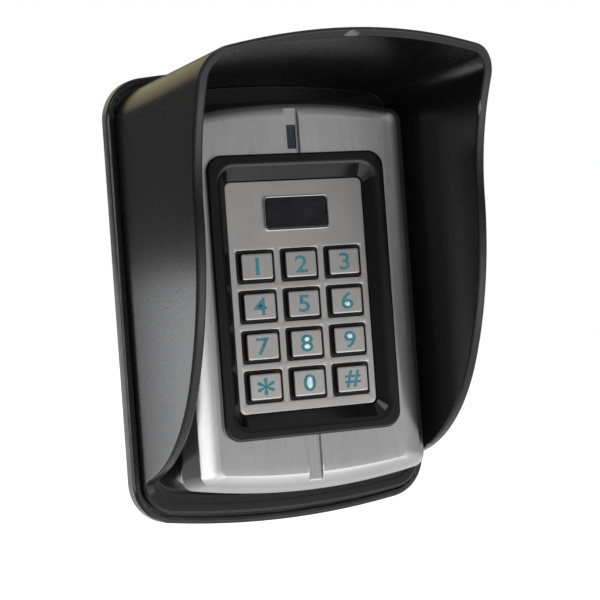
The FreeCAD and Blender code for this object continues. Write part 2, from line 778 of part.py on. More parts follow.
def bezel_frame():
    body = new_body("bezel_frame")
    high, middle = "bezel_top - bezel_bottom", "(bezel_top + bezel_bottom) / 2"
    base = pad(
        body, "shell_front", "bezel_front", draw_panel, "2 * bezel_half_width", high, "bezel_corner",
        "0", middle,
    )
    round_edges(body, base, "bezel_front", "bezel_fillet")
    slip = "(bezel_neck + neck_slip)"
    pad(
        body, "ledge_depth - ledge_thick", "shell_front", draw_panel,
        "2 * (bezel_half_width - %s)" % slip,
        high + " - 2 * " + slip, "bezel_corner - " + slip, "0", middle,
    )
    plate_high, plate_middle = "plate_top - plate_bottom", "(plate_top + plate_bottom) / 2"
    opening = (
        "2 * (plate_half_width + plate_gap)", plate_high + " + 2 * plate_gap", "plate_corner", "0",
        plate_middle,
    )
    cut(body, "ledge_depth", "bezel_front", draw_panel, *opening)
    ridge = (
        "2 * (bezel_half_width - bezel_land)", high + " - 2 * bezel_land", "bezel_corner - bezel_land",
        "0", middle,
    )
    before = body.Shape.Volume
    slope = [("bezel_seat", opening), ("bezel_front", ridge)]
    loft(body, "SubtractiveLoft", slope, draw_panel)
    if not body.Shape.Volume < before:
        raise ValueError("the bezel's inner slope cut nothing")
    cut(
        body, "ledge_depth - ledge_thick", "ledge_depth", draw_panel,
        "2 * (plate_half_width - ledge_width)", plate_high + " - 2 * ledge_width", "ledge_corner", "0",
        plate_middle,
    )


def key_places():
    """The name, column and row of each key; column 0 is the middle one and row 0 the top one."""
    rows = (("1", "2", "3"), ("4", "5", "6"), ("7", "8", "9"), ("star", "0", "hash"))
    return [
        (name, column - 1, row) for row, names in enumerate(rows) for column, name in enumerate(names)
    ]


def cut_key_grid(body, back, front, wide, high, corner):
    """One opening for each key, cut row by row so that each sketch stays small."""
    for row in range(4):
        cut(body, back, front, draw_key_row, row, wide, high, corner)


def draw_key_row(sketch, row, wide, high, corner):
    for column in (-1, 0, 1):
        across = "key_pitch * (%d)" % column
        draw_panel(sketch, wide, high, corner, across, "top_row - row_pitch * %d" % row)


def keypad_plate():
    body = new_body("keypad_plate")
    pad(
        body, "ledge_depth", "plate_front", draw_panel, "2 * plate_half_width",
        "plate_top - plate_bottom", "plate_corner", "0", "(plate_top + plate_bottom) / 2",
    )
    cut_key_grid(body, "ledge_depth", "plate_front", "well_wide", "well_high", "well_corner")


def key_guide():
    body = new_body("key_guide")
    grid_middle = "top_row - 1.5 * row_pitch"
    grid_high = "3 * row_pitch + well_high"
    outside = (
        "2 * guide_half_width", grid_high + " + 2 * guide_margin", "guide_corner", "0", grid_middle,
    )
    pad(body, "guide_back", "ledge_depth", draw_panel, *outside)
    pad(body, "board_front", "guide_back", draw_panel, *outside)
    cut(
        body, "board_front", "guide_back", draw_panel, "2 * (guide_half_width - guide_wall)",
        grid_high + " + 2 * (guide_margin - guide_wall)", "guide_wall", "0", grid_middle,
    )
    for row in range(4):
        pad(
            body, "ledge_depth", "guide_collar", draw_key_row, row, "well_wide - guide_slip",
            "well_high - guide_slip", "well_corner",
        )
    cut_key_grid(
        body, "guide_back", "guide_collar", "key_wide + 2 * key_gap", "key_high + 2 * key_gap",
        "key_corner",
    )


def light_places():
    """The backlights' places, between the key columns and rows."""
    return [
        ("key_pitch * (%g)" % across, "top_row - row_pitch * %g" % down)
        for across in (-0.5, 0.5)
        for down in (0.5, 1.5, 2.5)
    ]


def keymat():
    body = new_body("keymat")
    pad(
        body, "board_front", "mat_depth", draw_panel, "2 * (guide_half_width - mat_inset)",
        "3 * row_pitch + well_high + 2 * mat_margin", "mat_corner", "0", "top_row - 1.5 * row_pitch",
    )
    cut(body, "board_front", "mat_depth", draw_circles, "mat_hole", light_places())
    domes = [
        ("key_pitch * (%d)" % column, "top_row - row_pitch * %d" % row)
        for _, column, row in key_places()
    ]
    pad(body, "mat_depth", "key_foot", draw_circles, "dome_radius", domes)


def place_key(thing, column, row):
    """Put a key piece, drawn about the origin, on its place in the keypad."""
    bind(thing, "Placement.Base.x", "key_pitch * (%d)" % column)
    bind(thing, "Placement.Base.z", "top_row - row_pitch * %d" % row)


def key_cap(name, column, row):
    body = new_body("key_cap_" + name)
    base = pad(body, "cap_back", "cap_front", draw_panel, "key_wide", "key_high", "key_corner")
    round_edges(body, base, "cap_front", "cap_round")
    place_key(body, column, row)


def key_plunger(name, column, row):
    body = new_body("key_plunger_" + name)
    flange = "key_flange_lip"
    pad(
        body, "key_foot", "key_foot + key_flange", draw_panel, "key_wide + 2 * " + flange,
        "key_high + 2 * " + flange, "key_corner",
    )
    pad(
        body, "key_foot + key_flange", "cap_back", draw_panel, "key_wide", "key_high", "key_corner",
    )
    place_key(body, column, row)


def badge():
    frame = new_body("badge_frame")
    base = pad(
        frame, "plate_front", "badge_depth", draw_panel, "badge_wide", "badge_high", "badge_corner", "0",
        "badge_height",
    )
    round_edges(frame, base, "badge_depth", "badge_round")
    inside = (
        "badge_wide - 2 * badge_ring", "badge_high - 2 * badge_ring", "badge_inner_corner", "0",
        "badge_height",
    )
    cut(frame, "plate_front", "badge_depth", draw_panel, *inside)
    inlay = new_body("badge_inlay")
    pad(inlay, "plate_front", "badge_depth - badge_sink", draw_panel, *inside)


def window_parts():
    place = ("0", "window_height")
    pipe = block(
        "light_pipe", "board_front + pipe_gap", "lens_back", "window_wide - pipe_inset",
        "window_high - pipe_inset", place,
    )
    keep(pipe, "light_pipe")
    lens = new_body("led_window")
    pad(
        lens, "lens_back", "shell_front - window_sink", draw_panel, "window_wide - lens_slip",
        "window_high - lens_slip", "window_corner", *place,
    )


def main_pcb():
    body = new_body("main_pcb")
    pad(
        body, "board_back", "board_front", draw_panel, "2 * board_half_width",
        "board_top - board_bottom", "2", "0", "(board_top + board_bottom) / 2",
    )
    posts = corners_of("post_spread", "post_top", "post_bottom")
    cut(body, "board_back", "board_front", draw_circles, "1.3", posts)


def antenna_coil():
    body = new_body("antenna_coil")
    top, bottom = "bezel_top - 0.4", "bezel_bottom - 0.6"
    high, middle = "(%s) - (%s)" % (top, bottom), "((%s) + (%s)) / 2" % (top, bottom)
    pad(
        body, "board_front", "coil_depth", draw_panel, "2 * coil_half_width", high, "6", "0", middle,
    )
    cut(
        body, "board_front", "coil_depth", draw_panel, "2 * (coil_half_width - coil_width)",
        "%s - 2 * coil_width" % high, "3", "0", middle,
    )


def electronics():
    keep(
        block("microcontroller", "board_back - 1.5", "board_back", "10", "10", ("0", "-2")),
        "microcontroller",
    )
    keep(block("relay", "10.4", "board_back", "15.5", "10.5", ("-18", "30")), "relay")
    keep(block("wire_header", "10.2", "board_back", "26", "8", ("0", "-42")), "wire_header")
    keep(rod("buzzer", "11.4", "board_back", "5.5", ("16", "32")), "buzzer")
    keep(
        block("voltage_regulator", "board_back - 2.3", "board_back", "6.6", "6.2", ("20", "-14")),
        "voltage_regulator",
    )
    sensor = rod(
        "tamper_sensor", "board_back - 2.5", "board_back", "2.5", ("tamper_across", "tamper_height")
    )
    keep(sensor, "tamper_sensor")
    cans = (("3.2", ("-22", "-12")), ("3.2", ("-22", "-22")), ("2.5", ("-13", "-17")))
    group(
        "capacitors",
        [
            rod("capacitor_%d" % number, "10.8", "board_back", radius, place)
            for number, (radius, place) in enumerate(cans)
        ],
    )
    group(
        "key_backlights",
        [
            block("backlight_%d" % number, "board_front", "board_front + 0.8", "2", "1.25", place)
            for number, place in enumerate(light_places())
        ],
    )
    group(
        "status_leds",
        [
            block("status_led_%d" % number, "board_front", "board_front + 0.8", "2", "1.25", ("0", up))
            for number, up in enumerate(("46.2", "48.6", "51"))
        ],
    )


def fasteners():
    screws(
        "guard_hood_screws", ("hood_head_sink", "hood_seat_depth", "pilot_radius + hood_head_lip"),
        ("hood_seat_depth", "hood_lip - hood_skin - hood_tip_gap", "pilot_radius - screw_slip"),
        corners_of("hood_screw_across", "hood_screw_height"),
    )
    screws(
        "back_plate_screws",
        ("back_plate_depth", "back_plate_depth + back_screw_head", "back_screw_radius"),
        ("back_screw_tip", "back_plate_depth", "pilot_radius - screw_slip"),
        corners_of("plate_screw_spread", "plate_screw_spread"),
    )
    screws(
        "rear_cover_screws", ("cover_back - cover_screw_head", "cover_back", "cover_screw_radius"),
        (
            "cover_back", "cover_front + cover_screw_length",
            "pilot_radius - cover_screw_slip - screw_slip",
        ),
        corners_of("cover_screw_across", "cover_screw_top", "cover_screw_bottom"),
    )
    screws(
        "pcb_screws", ("board_back - 1.6", "board_back", "2.3"),
        ("board_back", "board_front + 5", "1"), corners_of("post_spread", "post_top", "post_bottom"),
    )


def check_document():
    """Stop if any object failed or any sub-part has no sound shape."""
    doc.recompute()
    for thing in doc.Objects:
        if "Invalid" in thing.State or "Error" in thing.State:
            raise ValueError("%s failed: %s" % (thing.Label, thing.State))
    for node in NODES:
        if node.Shape.isNull() or not node.Shape.isValid():
            raise ValueError("%s has no valid shape" % node.Label)


def write_parts():
    os.makedirs("parts", exist_ok=True)
    for node in NODES:
        node.Shape.exportStep("parts/%s.step" % node.Label)


guard_base()
guard_hood()
back_plate()
back_plate_tapped()
cable_grommet()
rear_gasket()
rear_cover()
front_housing()
front_housing_drilled()
security_screw()
bezel_frame()
keypad_plate()
key_guide()
keymat()
for key in key_places():
    key_cap(*key)
    key_plunger(*key)
badge()
window_parts()
main_pcb()
antenna_coil()
electronics()
fasteners()
check_document()
write_parts()
for node in NODES:
    print(node.Label, len(node.Shape.Solids), round(node.Shape.Volume, 2))
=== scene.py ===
"""A keypad access reader in its weather hood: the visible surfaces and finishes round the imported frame.

Metres throughout, X to the right, +Y into the wall, Z up. A depth is a distance in front of the wall.
"""

import json
import math

import bmesh
import bpy
import numpy as np
from bpy.props import FloatProperty, FloatVectorProperty, IntProperty, PointerProperty
from bpy.types import Operator, Panel, PropertyGroup
from mathutils import Matrix, Vector


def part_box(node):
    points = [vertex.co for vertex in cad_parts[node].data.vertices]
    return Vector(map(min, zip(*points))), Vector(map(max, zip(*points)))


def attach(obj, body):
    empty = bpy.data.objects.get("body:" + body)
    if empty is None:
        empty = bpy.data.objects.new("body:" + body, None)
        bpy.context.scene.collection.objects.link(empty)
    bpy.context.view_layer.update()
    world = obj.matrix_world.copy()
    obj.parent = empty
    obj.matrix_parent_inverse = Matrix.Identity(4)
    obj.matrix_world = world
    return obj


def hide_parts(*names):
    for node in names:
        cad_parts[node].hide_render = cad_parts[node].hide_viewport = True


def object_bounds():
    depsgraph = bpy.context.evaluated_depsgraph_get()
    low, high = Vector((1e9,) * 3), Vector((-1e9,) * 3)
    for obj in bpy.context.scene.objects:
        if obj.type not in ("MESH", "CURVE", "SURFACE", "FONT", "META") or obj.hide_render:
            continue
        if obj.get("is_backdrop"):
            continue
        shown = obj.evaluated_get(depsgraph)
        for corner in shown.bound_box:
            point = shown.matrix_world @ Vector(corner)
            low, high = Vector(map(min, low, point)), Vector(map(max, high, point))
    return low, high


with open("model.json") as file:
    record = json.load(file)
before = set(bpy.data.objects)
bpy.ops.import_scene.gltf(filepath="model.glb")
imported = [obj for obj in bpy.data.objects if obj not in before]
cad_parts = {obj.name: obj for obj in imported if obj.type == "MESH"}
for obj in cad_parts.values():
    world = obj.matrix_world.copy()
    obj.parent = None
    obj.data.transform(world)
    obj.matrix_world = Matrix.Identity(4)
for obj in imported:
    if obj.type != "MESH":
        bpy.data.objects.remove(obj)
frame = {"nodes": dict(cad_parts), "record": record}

bl_info = {
    "name": "Keypad reader in a weather hood",
    "version": (1, 0, 0),
    "blender": (4, 5, 0),
    "location": "View3D > Sidebar > Keypad reader",
    "description": "Builds the reader's visible surfaces and finishes round its packed frame",
    "category": "Add Mesh",
}

KEYS = (("1", "2", "3"), ("4", "5", "6"), ("7", "8", "9"), ("star", "0", "hash"))
MARKS = {"star": "*", "hash": "#"}
BODY = "reader"


# ---- sizes and colours that a user may change -------------------------------------------------


def length(name, description, default):
    """A distance property in metres."""
    return FloatProperty(
        name=name, description=description, default=default, unit="LENGTH", precision=5
    )


def tint(name, description, default):
    """A colour property."""
    return FloatVectorProperty(
        name=name, description=description, default=default, size=3, subtype="COLOR", min=0.0, max=1.0
    )


HOOD_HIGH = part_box("guard_hood")[1]
SHELL_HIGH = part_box("front_housing")[1]
BEZEL_LOW, BEZEL_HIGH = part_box("bezel_frame")
PLATE_LOW, PLATE_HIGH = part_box("keypad_plate")
CAP_LOW, CAP_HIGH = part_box("key_cap_5")


class HoodSizes(PropertyGroup):
    wall: length("Wall", "Thickness of the hood's side walls", 0.0032)
    roof: length("Roof", "Thickness of the hood's roof", 0.0026)
    flange: length("Flange", "Thickness of the flange on the base", 0.0036)
    lip: length("Lip", "Depth of the hood's lowest edge", 0.0075)
    waist: length("Waist", "Depth of the front edge at its waist", 0.0644)
    outer_round: length("Outer round", "Radius of the front edge's outer corner", 0.0010)
    inner_round: length("Inner round", "Radius of the front edge's inner corner", 0.0009)
    rows: IntProperty(name="Rows", description="Points along each upright side", default=110, min=24)


class HousingSizes(PropertyGroup):
    wall: length("Wall", "Thickness of the housing's walls", 0.0022)
    shoulder: length("Shoulder", "Depth where the side walls turn in", 0.0235)
    knee: length("Knee", "Depth of the softened knee round the front", 0.0283)
    front: length("Front", "Depth of the flat front face", 0.0305)
    groove: length("Groove", "Half width of the groove down the middle", 0.0023)
    groove_floor: length("Groove floor", "Depth of the groove's floor", 0.0295)
    window_floor: length("Window floor", "Depth of the floor behind the window", 0.0280)


class KeypadSizes(PropertyGroup):
    pitch: length("Key pitch", "Distance between key columns", 0.01514)
    row_pitch: length("Row pitch", "Distance between key rows", 0.0125)
    well_wide: length("Well width", "Width of a key's opening", 0.01284)
    well_high: length("Well height", "Height of a key's opening", 0.01027)
    land: length("Bezel land", "Width of the bezel's flat land", 0.0034)
    seat: length("Bezel seat", "Depth where the bezel's slope meets its opening", 0.0293)
    digit: length("Digit height", "Height of a numeral", 0.0054)


class Colours(PropertyGroup):
    guard: tint("Hood and base", "Satin black moulded plastic", (0.0065, 0.0065, 0.007))
    housing: tint("Housing", "Satin cast metal", (0.52, 0.52, 0.525))
    keypad: tint("Keypad", "Finely brushed plate and key faces", (0.72, 0.705, 0.685))
    bezel: tint("Bezel", "Gloss black", (0.008, 0.008, 0.009))
    numeral: tint("Numerals", "Teal of the key numerals", (0.050, 0.200, 0.235))
    glow: tint("Lit centres", "Pale light inside the closed numerals", (0.66, 0.78, 0.82))


# ---- outlines and surfaces -------------------------------------------------------------------


def unit(v):
    """Each row of v divided by its length."""
    return v / np.maximum(np.linalg.norm(v, axis=-1, keepdims=True), 1e-12)


def even(count):
    """Equal steps from 0 to 1."""
    return np.linspace(0.0, 1.0, count + 1)


def even_bow(count):
    """Equal steps from +1 to -1 times a bow's half length."""
    return lambda reach: np.linspace(reach, -reach, count + 1)


def arch(half_width, top, bottom, top_rise, bottom_rise, corner, bow=even_bow(24), side=None, turn=8):
    """A closed outline, anticlockwise from the front, as points (x, z).

    The sides are upright at x = half_width either way. The top and bottom are circular arcs whose
    radius is (half_width^2 + rise^2) / (2 rise), so each falls by its rise at the full half width; a
    rise of nothing makes a straight edge. Corner arcs of one radius are tangent to both. The bow
    gives the places across the top and bottom, and the side gives shares of the way up a side.
    """
    side = even(16) if side is None else side
    ends = []
    for crown, rise, way in ((top, top_rise, 1.0), (bottom, bottom_rise, -1.0)):
        if rise > 0:
            radius = (half_width**2 + rise**2) / (2 * rise)
            inner = math.sqrt((radius - corner) ** 2 - (half_width - corner) ** 2)
            lean = math.atan2(inner, half_width - corner)
            level = crown + way * (inner - radius)
        else:
            radius, lean, level = 0.0, math.pi / 2, crown - way * corner
        across = bow(half_width - corner + corner * math.cos(lean))
        drop = radius - np.sqrt(radius**2 - across**2) if rise > 0 else 0.0 * across
        ends.append((lean, level, across, crown - way * drop))
    (lean_t, level_t, across_t, z_t), (lean_b, level_b, across_b, z_b) = ends
    middle = half_width - corner
    steps = np.linspace(0.0, 1.0, turn, endpoint=False)

    def turned(x, z, start, stop):
        angle = start + (stop - start) * steps
        return np.column_stack([x + corner * np.cos(angle), z + corner * np.sin(angle)])

    up = level_b + (level_t - level_b) * side
    return np.vstack(
        [
            np.column_stack([np.full(len(up) - 1, half_width), up[:-1]]),
            turned(middle, level_t, 0.0, lean_t),
            np.column_stack([across_t, z_t])[:-1],
            turned(-middle, level_t, math.pi - lean_t, math.pi),
            np.column_stack([np.full(len(up) - 1, -half_width), up[::-1][:-1]]),
            turned(-middle, level_b, math.pi, math.pi + lean_b),
            np.column_stack([across_b[::-1], z_b[::-1]])[:-1],
            turned(middle, level_b, 2 * math.pi - lean_b, 2 * math.pi),
        ]
    )


def panel(wide, high, corner, x=0.0, z=0.0, bow=even_bow(12), side=None, turn=6):
    """A rounded rectangle about a centre, as an arch whose rises are nothing."""
    side = even(12) if side is None else side
    return arch(wide / 2, high / 2, -high / 2, 0, 0, corner, bow, side, turn) + np.array([x, z])


def ring(outline, depth):
    """The outline's points in space, at one depth or at a depth for each point."""
    return np.column_stack([outline[:, 0], -np.broadcast_to(depth, len(outline)), outline[:, 1]])


def soften(rings, radii, steps=4):
    """Round the corners of a closed section that is carried round an outline.

    Each ring with a radius is replaced by arcs. At each of its points the arc lies in the plane
    square to the ring, is tangent to the directions of the rings before and after it, and is spaced
    evenly by angle between them. Where a neighbour is too near, the radius is smaller.
    """
    made = []
    count = len(rings)
    for place, radius in enumerate(radii):
        here = rings[place]
        if radius <= 0:
            made.append(here)
            continue
        along = unit(np.roll(here, -1, 0) - np.roll(here, 1, 0))
        ways, room = [], []
        for other in (rings[place - 1], rings[(place + 1) % count]):
            way = other - here
            way = way - along * (way * along).sum(1, keepdims=True)
            room.append(np.linalg.norm(way, axis=1, keepdims=True))
            ways.append(unit(way))
        half = 0.5 * np.arccos(np.clip((ways[0] * ways[1]).sum(1, keepdims=True), -1, 1))
        reach = np.minimum(radius / np.tan(half), 0.48 * np.minimum(*room))
        centre = here + unit(ways[0] + ways[1]) * reach / np.cos(half)
        start, stop = here + ways[0] * reach - centre, here + ways[1] * reach - centre
        sweep = np.maximum(math.pi - 2 * half, 1e-6)
        for share in np.linspace(0, 1, steps + 1):
            turn = np.sin((1 - share) * sweep) * start + np.sin(share * sweep) * stop
            made.append(centre + turn / np.sin(sweep))
    return made


def skin(rings, closed=True):
    """Points and faces of the sheet through the rings; an open one gets a flat cap at each end."""
    rings = np.asarray(rings)
    count, around = rings.shape[:2]
    index = np.arange(count * around).reshape(count, around)
    low = index if closed else index[:-1]
    high = np.roll(index, -1, 0) if closed else index[1:]
    quads = np.stack([low, np.roll(low, -1, 1), np.roll(high, -1, 1), high], -1).reshape(-1, 4)
    faces = quads.tolist()
    if not closed:
        faces += [index[0][::-1].tolist(), index[-1].tolist()]
    return rings.reshape(-1, 3), faces


def turned_piece(profile, x, z):
    """A profile of (radius, depth) carried round an axis along the depth, closed at its ends."""
    angle = np.linspace(0, 2 * math.pi, 32, endpoint=False)
    circle = np.column_stack([np.cos(angle), np.sin(angle)])
    return skin([ring(circle * r + np.array([x, z]), d) for r, d in profile], closed=False)


def gather(parts):
    """Several sheets as one set of points and faces."""
    points, faces, start = [], [], 0
    for some, shapes in parts:
        points.append(some)
        faces += [[corner + start for corner in face] for face in shapes]
        start += len(some)
    return np.vstack(points), faces


def put(name, sheet, slot, node, body=BODY, crease=35.0):
    """Make the piece from its points and faces, and stand it for its CAD node.

    Doubled points are merged, and it is shaded smooth up to the crease angle.
    """
    points, faces = sheet
    mesh = bpy.data.meshes.new(name)
    mesh.from_pydata(np.asarray(points).tolist(), [], faces)
    work = bmesh.new()
    work.from_mesh(mesh)
    bmesh.ops.remove_doubles(work, verts=work.verts, dist=2e-7)
    bmesh.ops.dissolve_degenerate(work, edges=work.edges, dist=1e-8)
    work.to_mesh(mesh)
    work.free()
    mesh.shade_smooth()
    mesh.set_sharp_from_angle(angle=math.radians(crease))
    piece = bpy.data.objects.new(name, mesh)
    bpy.context.scene.collection.objects.link(piece)
    weighted = piece.modifiers.new("even shading", "WEIGHTED_NORMAL")
    weighted.keep_sharp = True
    weighted.weight = 80
    mesh.materials.append(FINISHES[slot])
    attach(piece, body)
    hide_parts(node)


# ---- finishes --------------------------------------------------------------------------------


class Tree:
    """A material's nodes, built from short calls; every pattern reads Object coordinates."""

    def __init__(self, name):
        self.material = bpy.data.materials.new(name)
        self.material.use_nodes = True
        self.nodes = self.material.node_tree.nodes
        self.links = self.material.node_tree.links
        self.nodes.clear()
        self.shader = self.add("ShaderNodeBsdfPrincipled")
        out = self.add("ShaderNodeOutputMaterial")
        self.link(self.shader.outputs["BSDF"], out.inputs["Surface"])
        self.place = self.add("ShaderNodeTexCoord").outputs["Object"]

    def add(self, kind, **settings):
        node = self.nodes.new(kind)
        for key, value in settings.items():
            setattr(node, key, value)
        return node

    def link(self, source, target):
        self.links.new(source, target)

    def stretched(self, scale, turned=False):
        """Coordinates drawn out along an axis, or turned so that no flat face lies along the pattern."""
        node = self.add("ShaderNodeMapping")
        node.inputs["Scale"].default_value = scale
        if turned:
            node.inputs["Rotation"].default_value = (0.62, 0.91, 0.33)
        self.link(self.place, node.inputs["Vector"])
        return node.outputs["Vector"]

    def noise(self, scale, detail=3.0, stretch=None):
        node = self.add("ShaderNodeTexNoise")
        self.link(self.stretched(stretch or (1.0, 1.0, 1.0), stretch is None), node.inputs["Vector"])
        node.inputs["Scale"].default_value = scale
        node.inputs["Detail"].default_value = detail
        node.inputs["Roughness"].default_value = 0.55
        return node.outputs["Fac"]

    def ranged(self, source, low, high, out_low, out_high):
        node = self.add("ShaderNodeMapRange")
        self.link(source, node.inputs["Value"])
        ends = {"From Min": low, "From Max": high, "To Min": out_low, "To Max": out_high}
        for key, value in ends.items():
            node.inputs[key].default_value = value
        return node.outputs["Result"]

    def sum(self, first, second, kind="ADD"):
        node = self.add("ShaderNodeMath", operation=kind)
        self.link(first, node.inputs[0])
        self.link(second, node.inputs[1])
        return node.outputs[0]

    def colours(self, share, first, second):
        node = self.add("ShaderNodeMix", data_type="RGBA")
        self.link(share, node.inputs[0])
        for socket, value in ((node.inputs[6], first), (node.inputs[7], second)):
            if hasattr(value, "is_linked"):
                self.link(value, socket)
            else:
                socket.default_value = (*value, 1.0)
        return node.outputs[2]

    def bumps(self, height, strength, distance):
        node = self.add("ShaderNodeBump")
        node.inputs["Strength"].default_value = strength
        node.inputs["Distance"].default_value = distance
        self.link(height, node.inputs["Height"])
        return node.outputs["Normal"]

    def wear_and_highlight_mask(self):
        """How far a point is on a convex edge, from 0 to 1, a little broken up by patches: the mask for
        wear and for a painted highlight along the edges.
        """
        point = self.add("ShaderNodeNewGeometry").outputs["Pointiness"]
        edge = self.ranged(point, 0.52, 0.58, 0.0, 1.0)
        return self.sum(edge, self.ranged(self.noise(260.0), 0.35, 0.65, 0.65, 1.0), "MULTIPLY")


def shade(colour, factor):
    """A colour made darker or lighter, up to white."""
    return tuple(min(1.0, channel * factor) for channel in colour)


def finish(name, colour, rough, metal=0.0, grain=3000.0, relief=2e-5, strength=0.25, stretch=None,
           patch=60.0, vary=0.18, wear_and_highlight_colour=None, **constants):
    """A surface with a fine grain and broad patches.

    Its colour drifts by a share either way from patch to patch, its roughness follows its grain, and
    the grain stands a little proud. Where an edge colour is given, it shows along the convex edges,
    partly as wear and partly as a painted highlight.
    """
    tree = Tree(name)
    fine = tree.noise(grain, 3.0, stretch)
    broad = tree.noise(patch, 4.0)
    share = tree.ranged(broad, 0.3, 0.7, 0.0, 1.0)
    base = tree.colours(share, shade(colour, 1 - vary), shade(colour, 1 + vary))
    roughness = tree.sum(
        tree.ranged(fine, 0.3, 0.7, rough[0], rough[1]), tree.ranged(broad, 0.2, 0.8, -0.008, 0.008)
    )
    # Lighter convex edges: partly wear, partly a painted highlight that brightens rims and edges.
    if wear_and_highlight_colour is not None:
        edge = tree.wear_and_highlight_mask()
        base = tree.colours(edge, base, wear_and_highlight_colour)
        roughness = tree.sum(roughness, tree.ranged(edge, 0.0, 1.0, 0.0, 0.06))
    tree.link(base, tree.shader.inputs["Base Color"])
    tree.link(roughness, tree.shader.inputs["Roughness"])
    tree.link(tree.bumps(fine, strength, relief), tree.shader.inputs["Normal"])
    tree.shader.inputs["Metallic"].default_value = metal
    for key, value in constants.items():
        tree.shader.inputs[key.replace("_", " ")].default_value = value
    return tree.material


def all_finishes(colours):
    """One finish for each material slot of the record, by the slot's name."""
    guard, metal, plate = tuple(colours.guard), tuple(colours.housing), tuple(colours.keypad)
    return {
        # The hood's edge colour, far lighter than its plastic, is a painted highlight that brightens the
        # rims.
        "guard_plastic": finish("hood_satin_black", guard, (0.255, 0.285), grain=2600.0, relief=4e-5,
                                strength=0.04, patch=22.0, vary=0.05, wear_and_highlight_colour=(0.14, 0.14, 0.148),
                                Specular_IOR_Level=0.50),
        "housing_metal": finish("housing_satin_metal", metal, (0.27, 0.33), 1.0, grain=900.0,
                                relief=1.0e-5, strength=0.07, stretch=(6.0, 1.0, 0.12), patch=30.0,
                                vary=0.05),
        # The bezel's and keypad's edge colours: partly wear, partly a painted highlight on the edges.
        "bezel_gloss": finish("bezel_gloss_black", tuple(colours.bezel), (0.09, 0.14), grain=500.0,
                              relief=4e-6, strength=0.12, patch=90.0, vary=0.1, wear_and_highlight_colour=(0.05, 0.05, 0.052),
                              Specular_IOR_Level=0.5),
        "keypad_metal": finish("keypad_brushed_metal", plate, (0.32, 0.44), 1.0, grain=1500.0,
                               relief=1.6e-5, strength=0.30, stretch=(3.0, 1.0, 0.10), vary=0.05,
                               wear_and_highlight_colour=(0.82, 0.81, 0.79)),
        "key_plastic": finish("key_matt_black", (0.012, 0.012, 0.013), (0.42, 0.55), grain=3500.0),
        "inner_plastic": finish("inner_matt_black", (0.010, 0.010, 0.011), (0.45, 0.60), grain=3000.0),
        "badge_chrome": finish("badge_polished_rim", (0.74, 0.74, 0.76), (0.08, 0.18), 1.0, grain=1800.0,
                               relief=6e-6, vary=0.04),
        "badge_gloss": finish("badge_gloss_black", (0.014, 0.014, 0.017), (0.06, 0.12), grain=900.0,
                              relief=4e-6, patch=240.0, vary=0.5, Specular_IOR_Level=0.5),
        "smoked_window": finish("window_smoked", (0.040, 0.048, 0.068), (0.08, 0.16), grain=700.0,
                                relief=5e-6, vary=0.15, Coat_Weight=0.5, Coat_Roughness=0.05),
        "acrylic": finish("clear_acrylic", (0.75, 0.80, 0.82), (0.08, 0.14), grain=700.0, relief=5e-6,
                          vary=0.04),
        "plate_steel": finish("zinc_plated_sheet", (0.46, 0.46, 0.45), (0.30, 0.48), 1.0, grain=1400.0,
                              patch=180.0, vary=0.10),
        "zinc_steel": finish("bright_zinc", (0.55, 0.56, 0.57), (0.22, 0.36), 1.0, grain=2000.0,
                             patch=400.0, vary=0.10),
        "seal_rubber": finish("seal_black_rubber", (0.018, 0.018, 0.018), (0.62, 0.78), grain=3500.0),
        "silicone": finish("milky_silicone", (0.62, 0.65, 0.66), (0.40, 0.55), grain=2500.0, vary=0.05),
        "board": finish("green_board", (0.012, 0.110, 0.045), (0.30, 0.45), grain=1800.0, vary=0.2),
        "led_clear": finish("clear_epoxy", (0.78, 0.80, 0.70), (0.10, 0.20), grain=1500.0, vary=0.06),
        "copper_wire": finish("enamelled_copper", (0.50, 0.22, 0.09), (0.20, 0.38), 1.0, grain=2600.0,
                              vary=0.15),
        "chip_black": finish("moulded_epoxy", (0.020, 0.020, 0.022), (0.45, 0.62), grain=4000.0),
        "relay_case": finish("blue_relay_case", (0.020, 0.045, 0.200), (0.20, 0.34), grain=2000.0),
        "capacitor_can": finish("drawn_can", (0.50, 0.50, 0.52), (0.20, 0.34), 1.0, grain=1800.0),
        "header_plastic": finish("off_white_nylon", (0.62, 0.61, 0.55), (0.34, 0.48), grain=2200.0),
        "sensor_clear": finish("amber_cell", (0.40, 0.20, 0.07), (0.10, 0.22), grain=1800.0),
    }


def lit_finish(name, colour, strength):
    """Numeral ink or a lit centre: a slightly uneven colour that gives a little light of its own."""
    tree = Tree(name)
    patchy = tree.noise(900.0, 3.0)
    share = tree.ranged(patchy, 0.35, 0.65, 0.0, 1.0)
    base = tree.colours(share, shade(colour, 0.80), shade(colour, 1.25))
    tree.link(base, tree.shader.inputs["Base Color"])
    tree.link(base, tree.shader.inputs["Emission Color"])
    tree.link(tree.ranged(patchy, 0.3, 0.7, 0.30, 0.45), tree.shader.inputs["Roughness"])
    tree.link(tree.bumps(tree.noise(4000.0), 0.2, 1e-5), tree.shader.inputs["Normal"])
    tree.shader.inputs["Emission Strength"].default_value = strength
    return tree.material


FINISHES = {}


def node_slots():
    """The material slot that each CAD node was packed with, read from the node's own material."""
    found = {}
    slots = [entry["slot"] for entry in frame["record"]["materials"]]
    for name, piece in frame["nodes"].items():
        for held in piece.data.materials:
            match = [slot for slot in slots if held is not None and held.name.split(".")[0] == slot]
            if match:
                found[name] = match[0]
    return found


# ---- operators -------------------------------------------------------------------------------


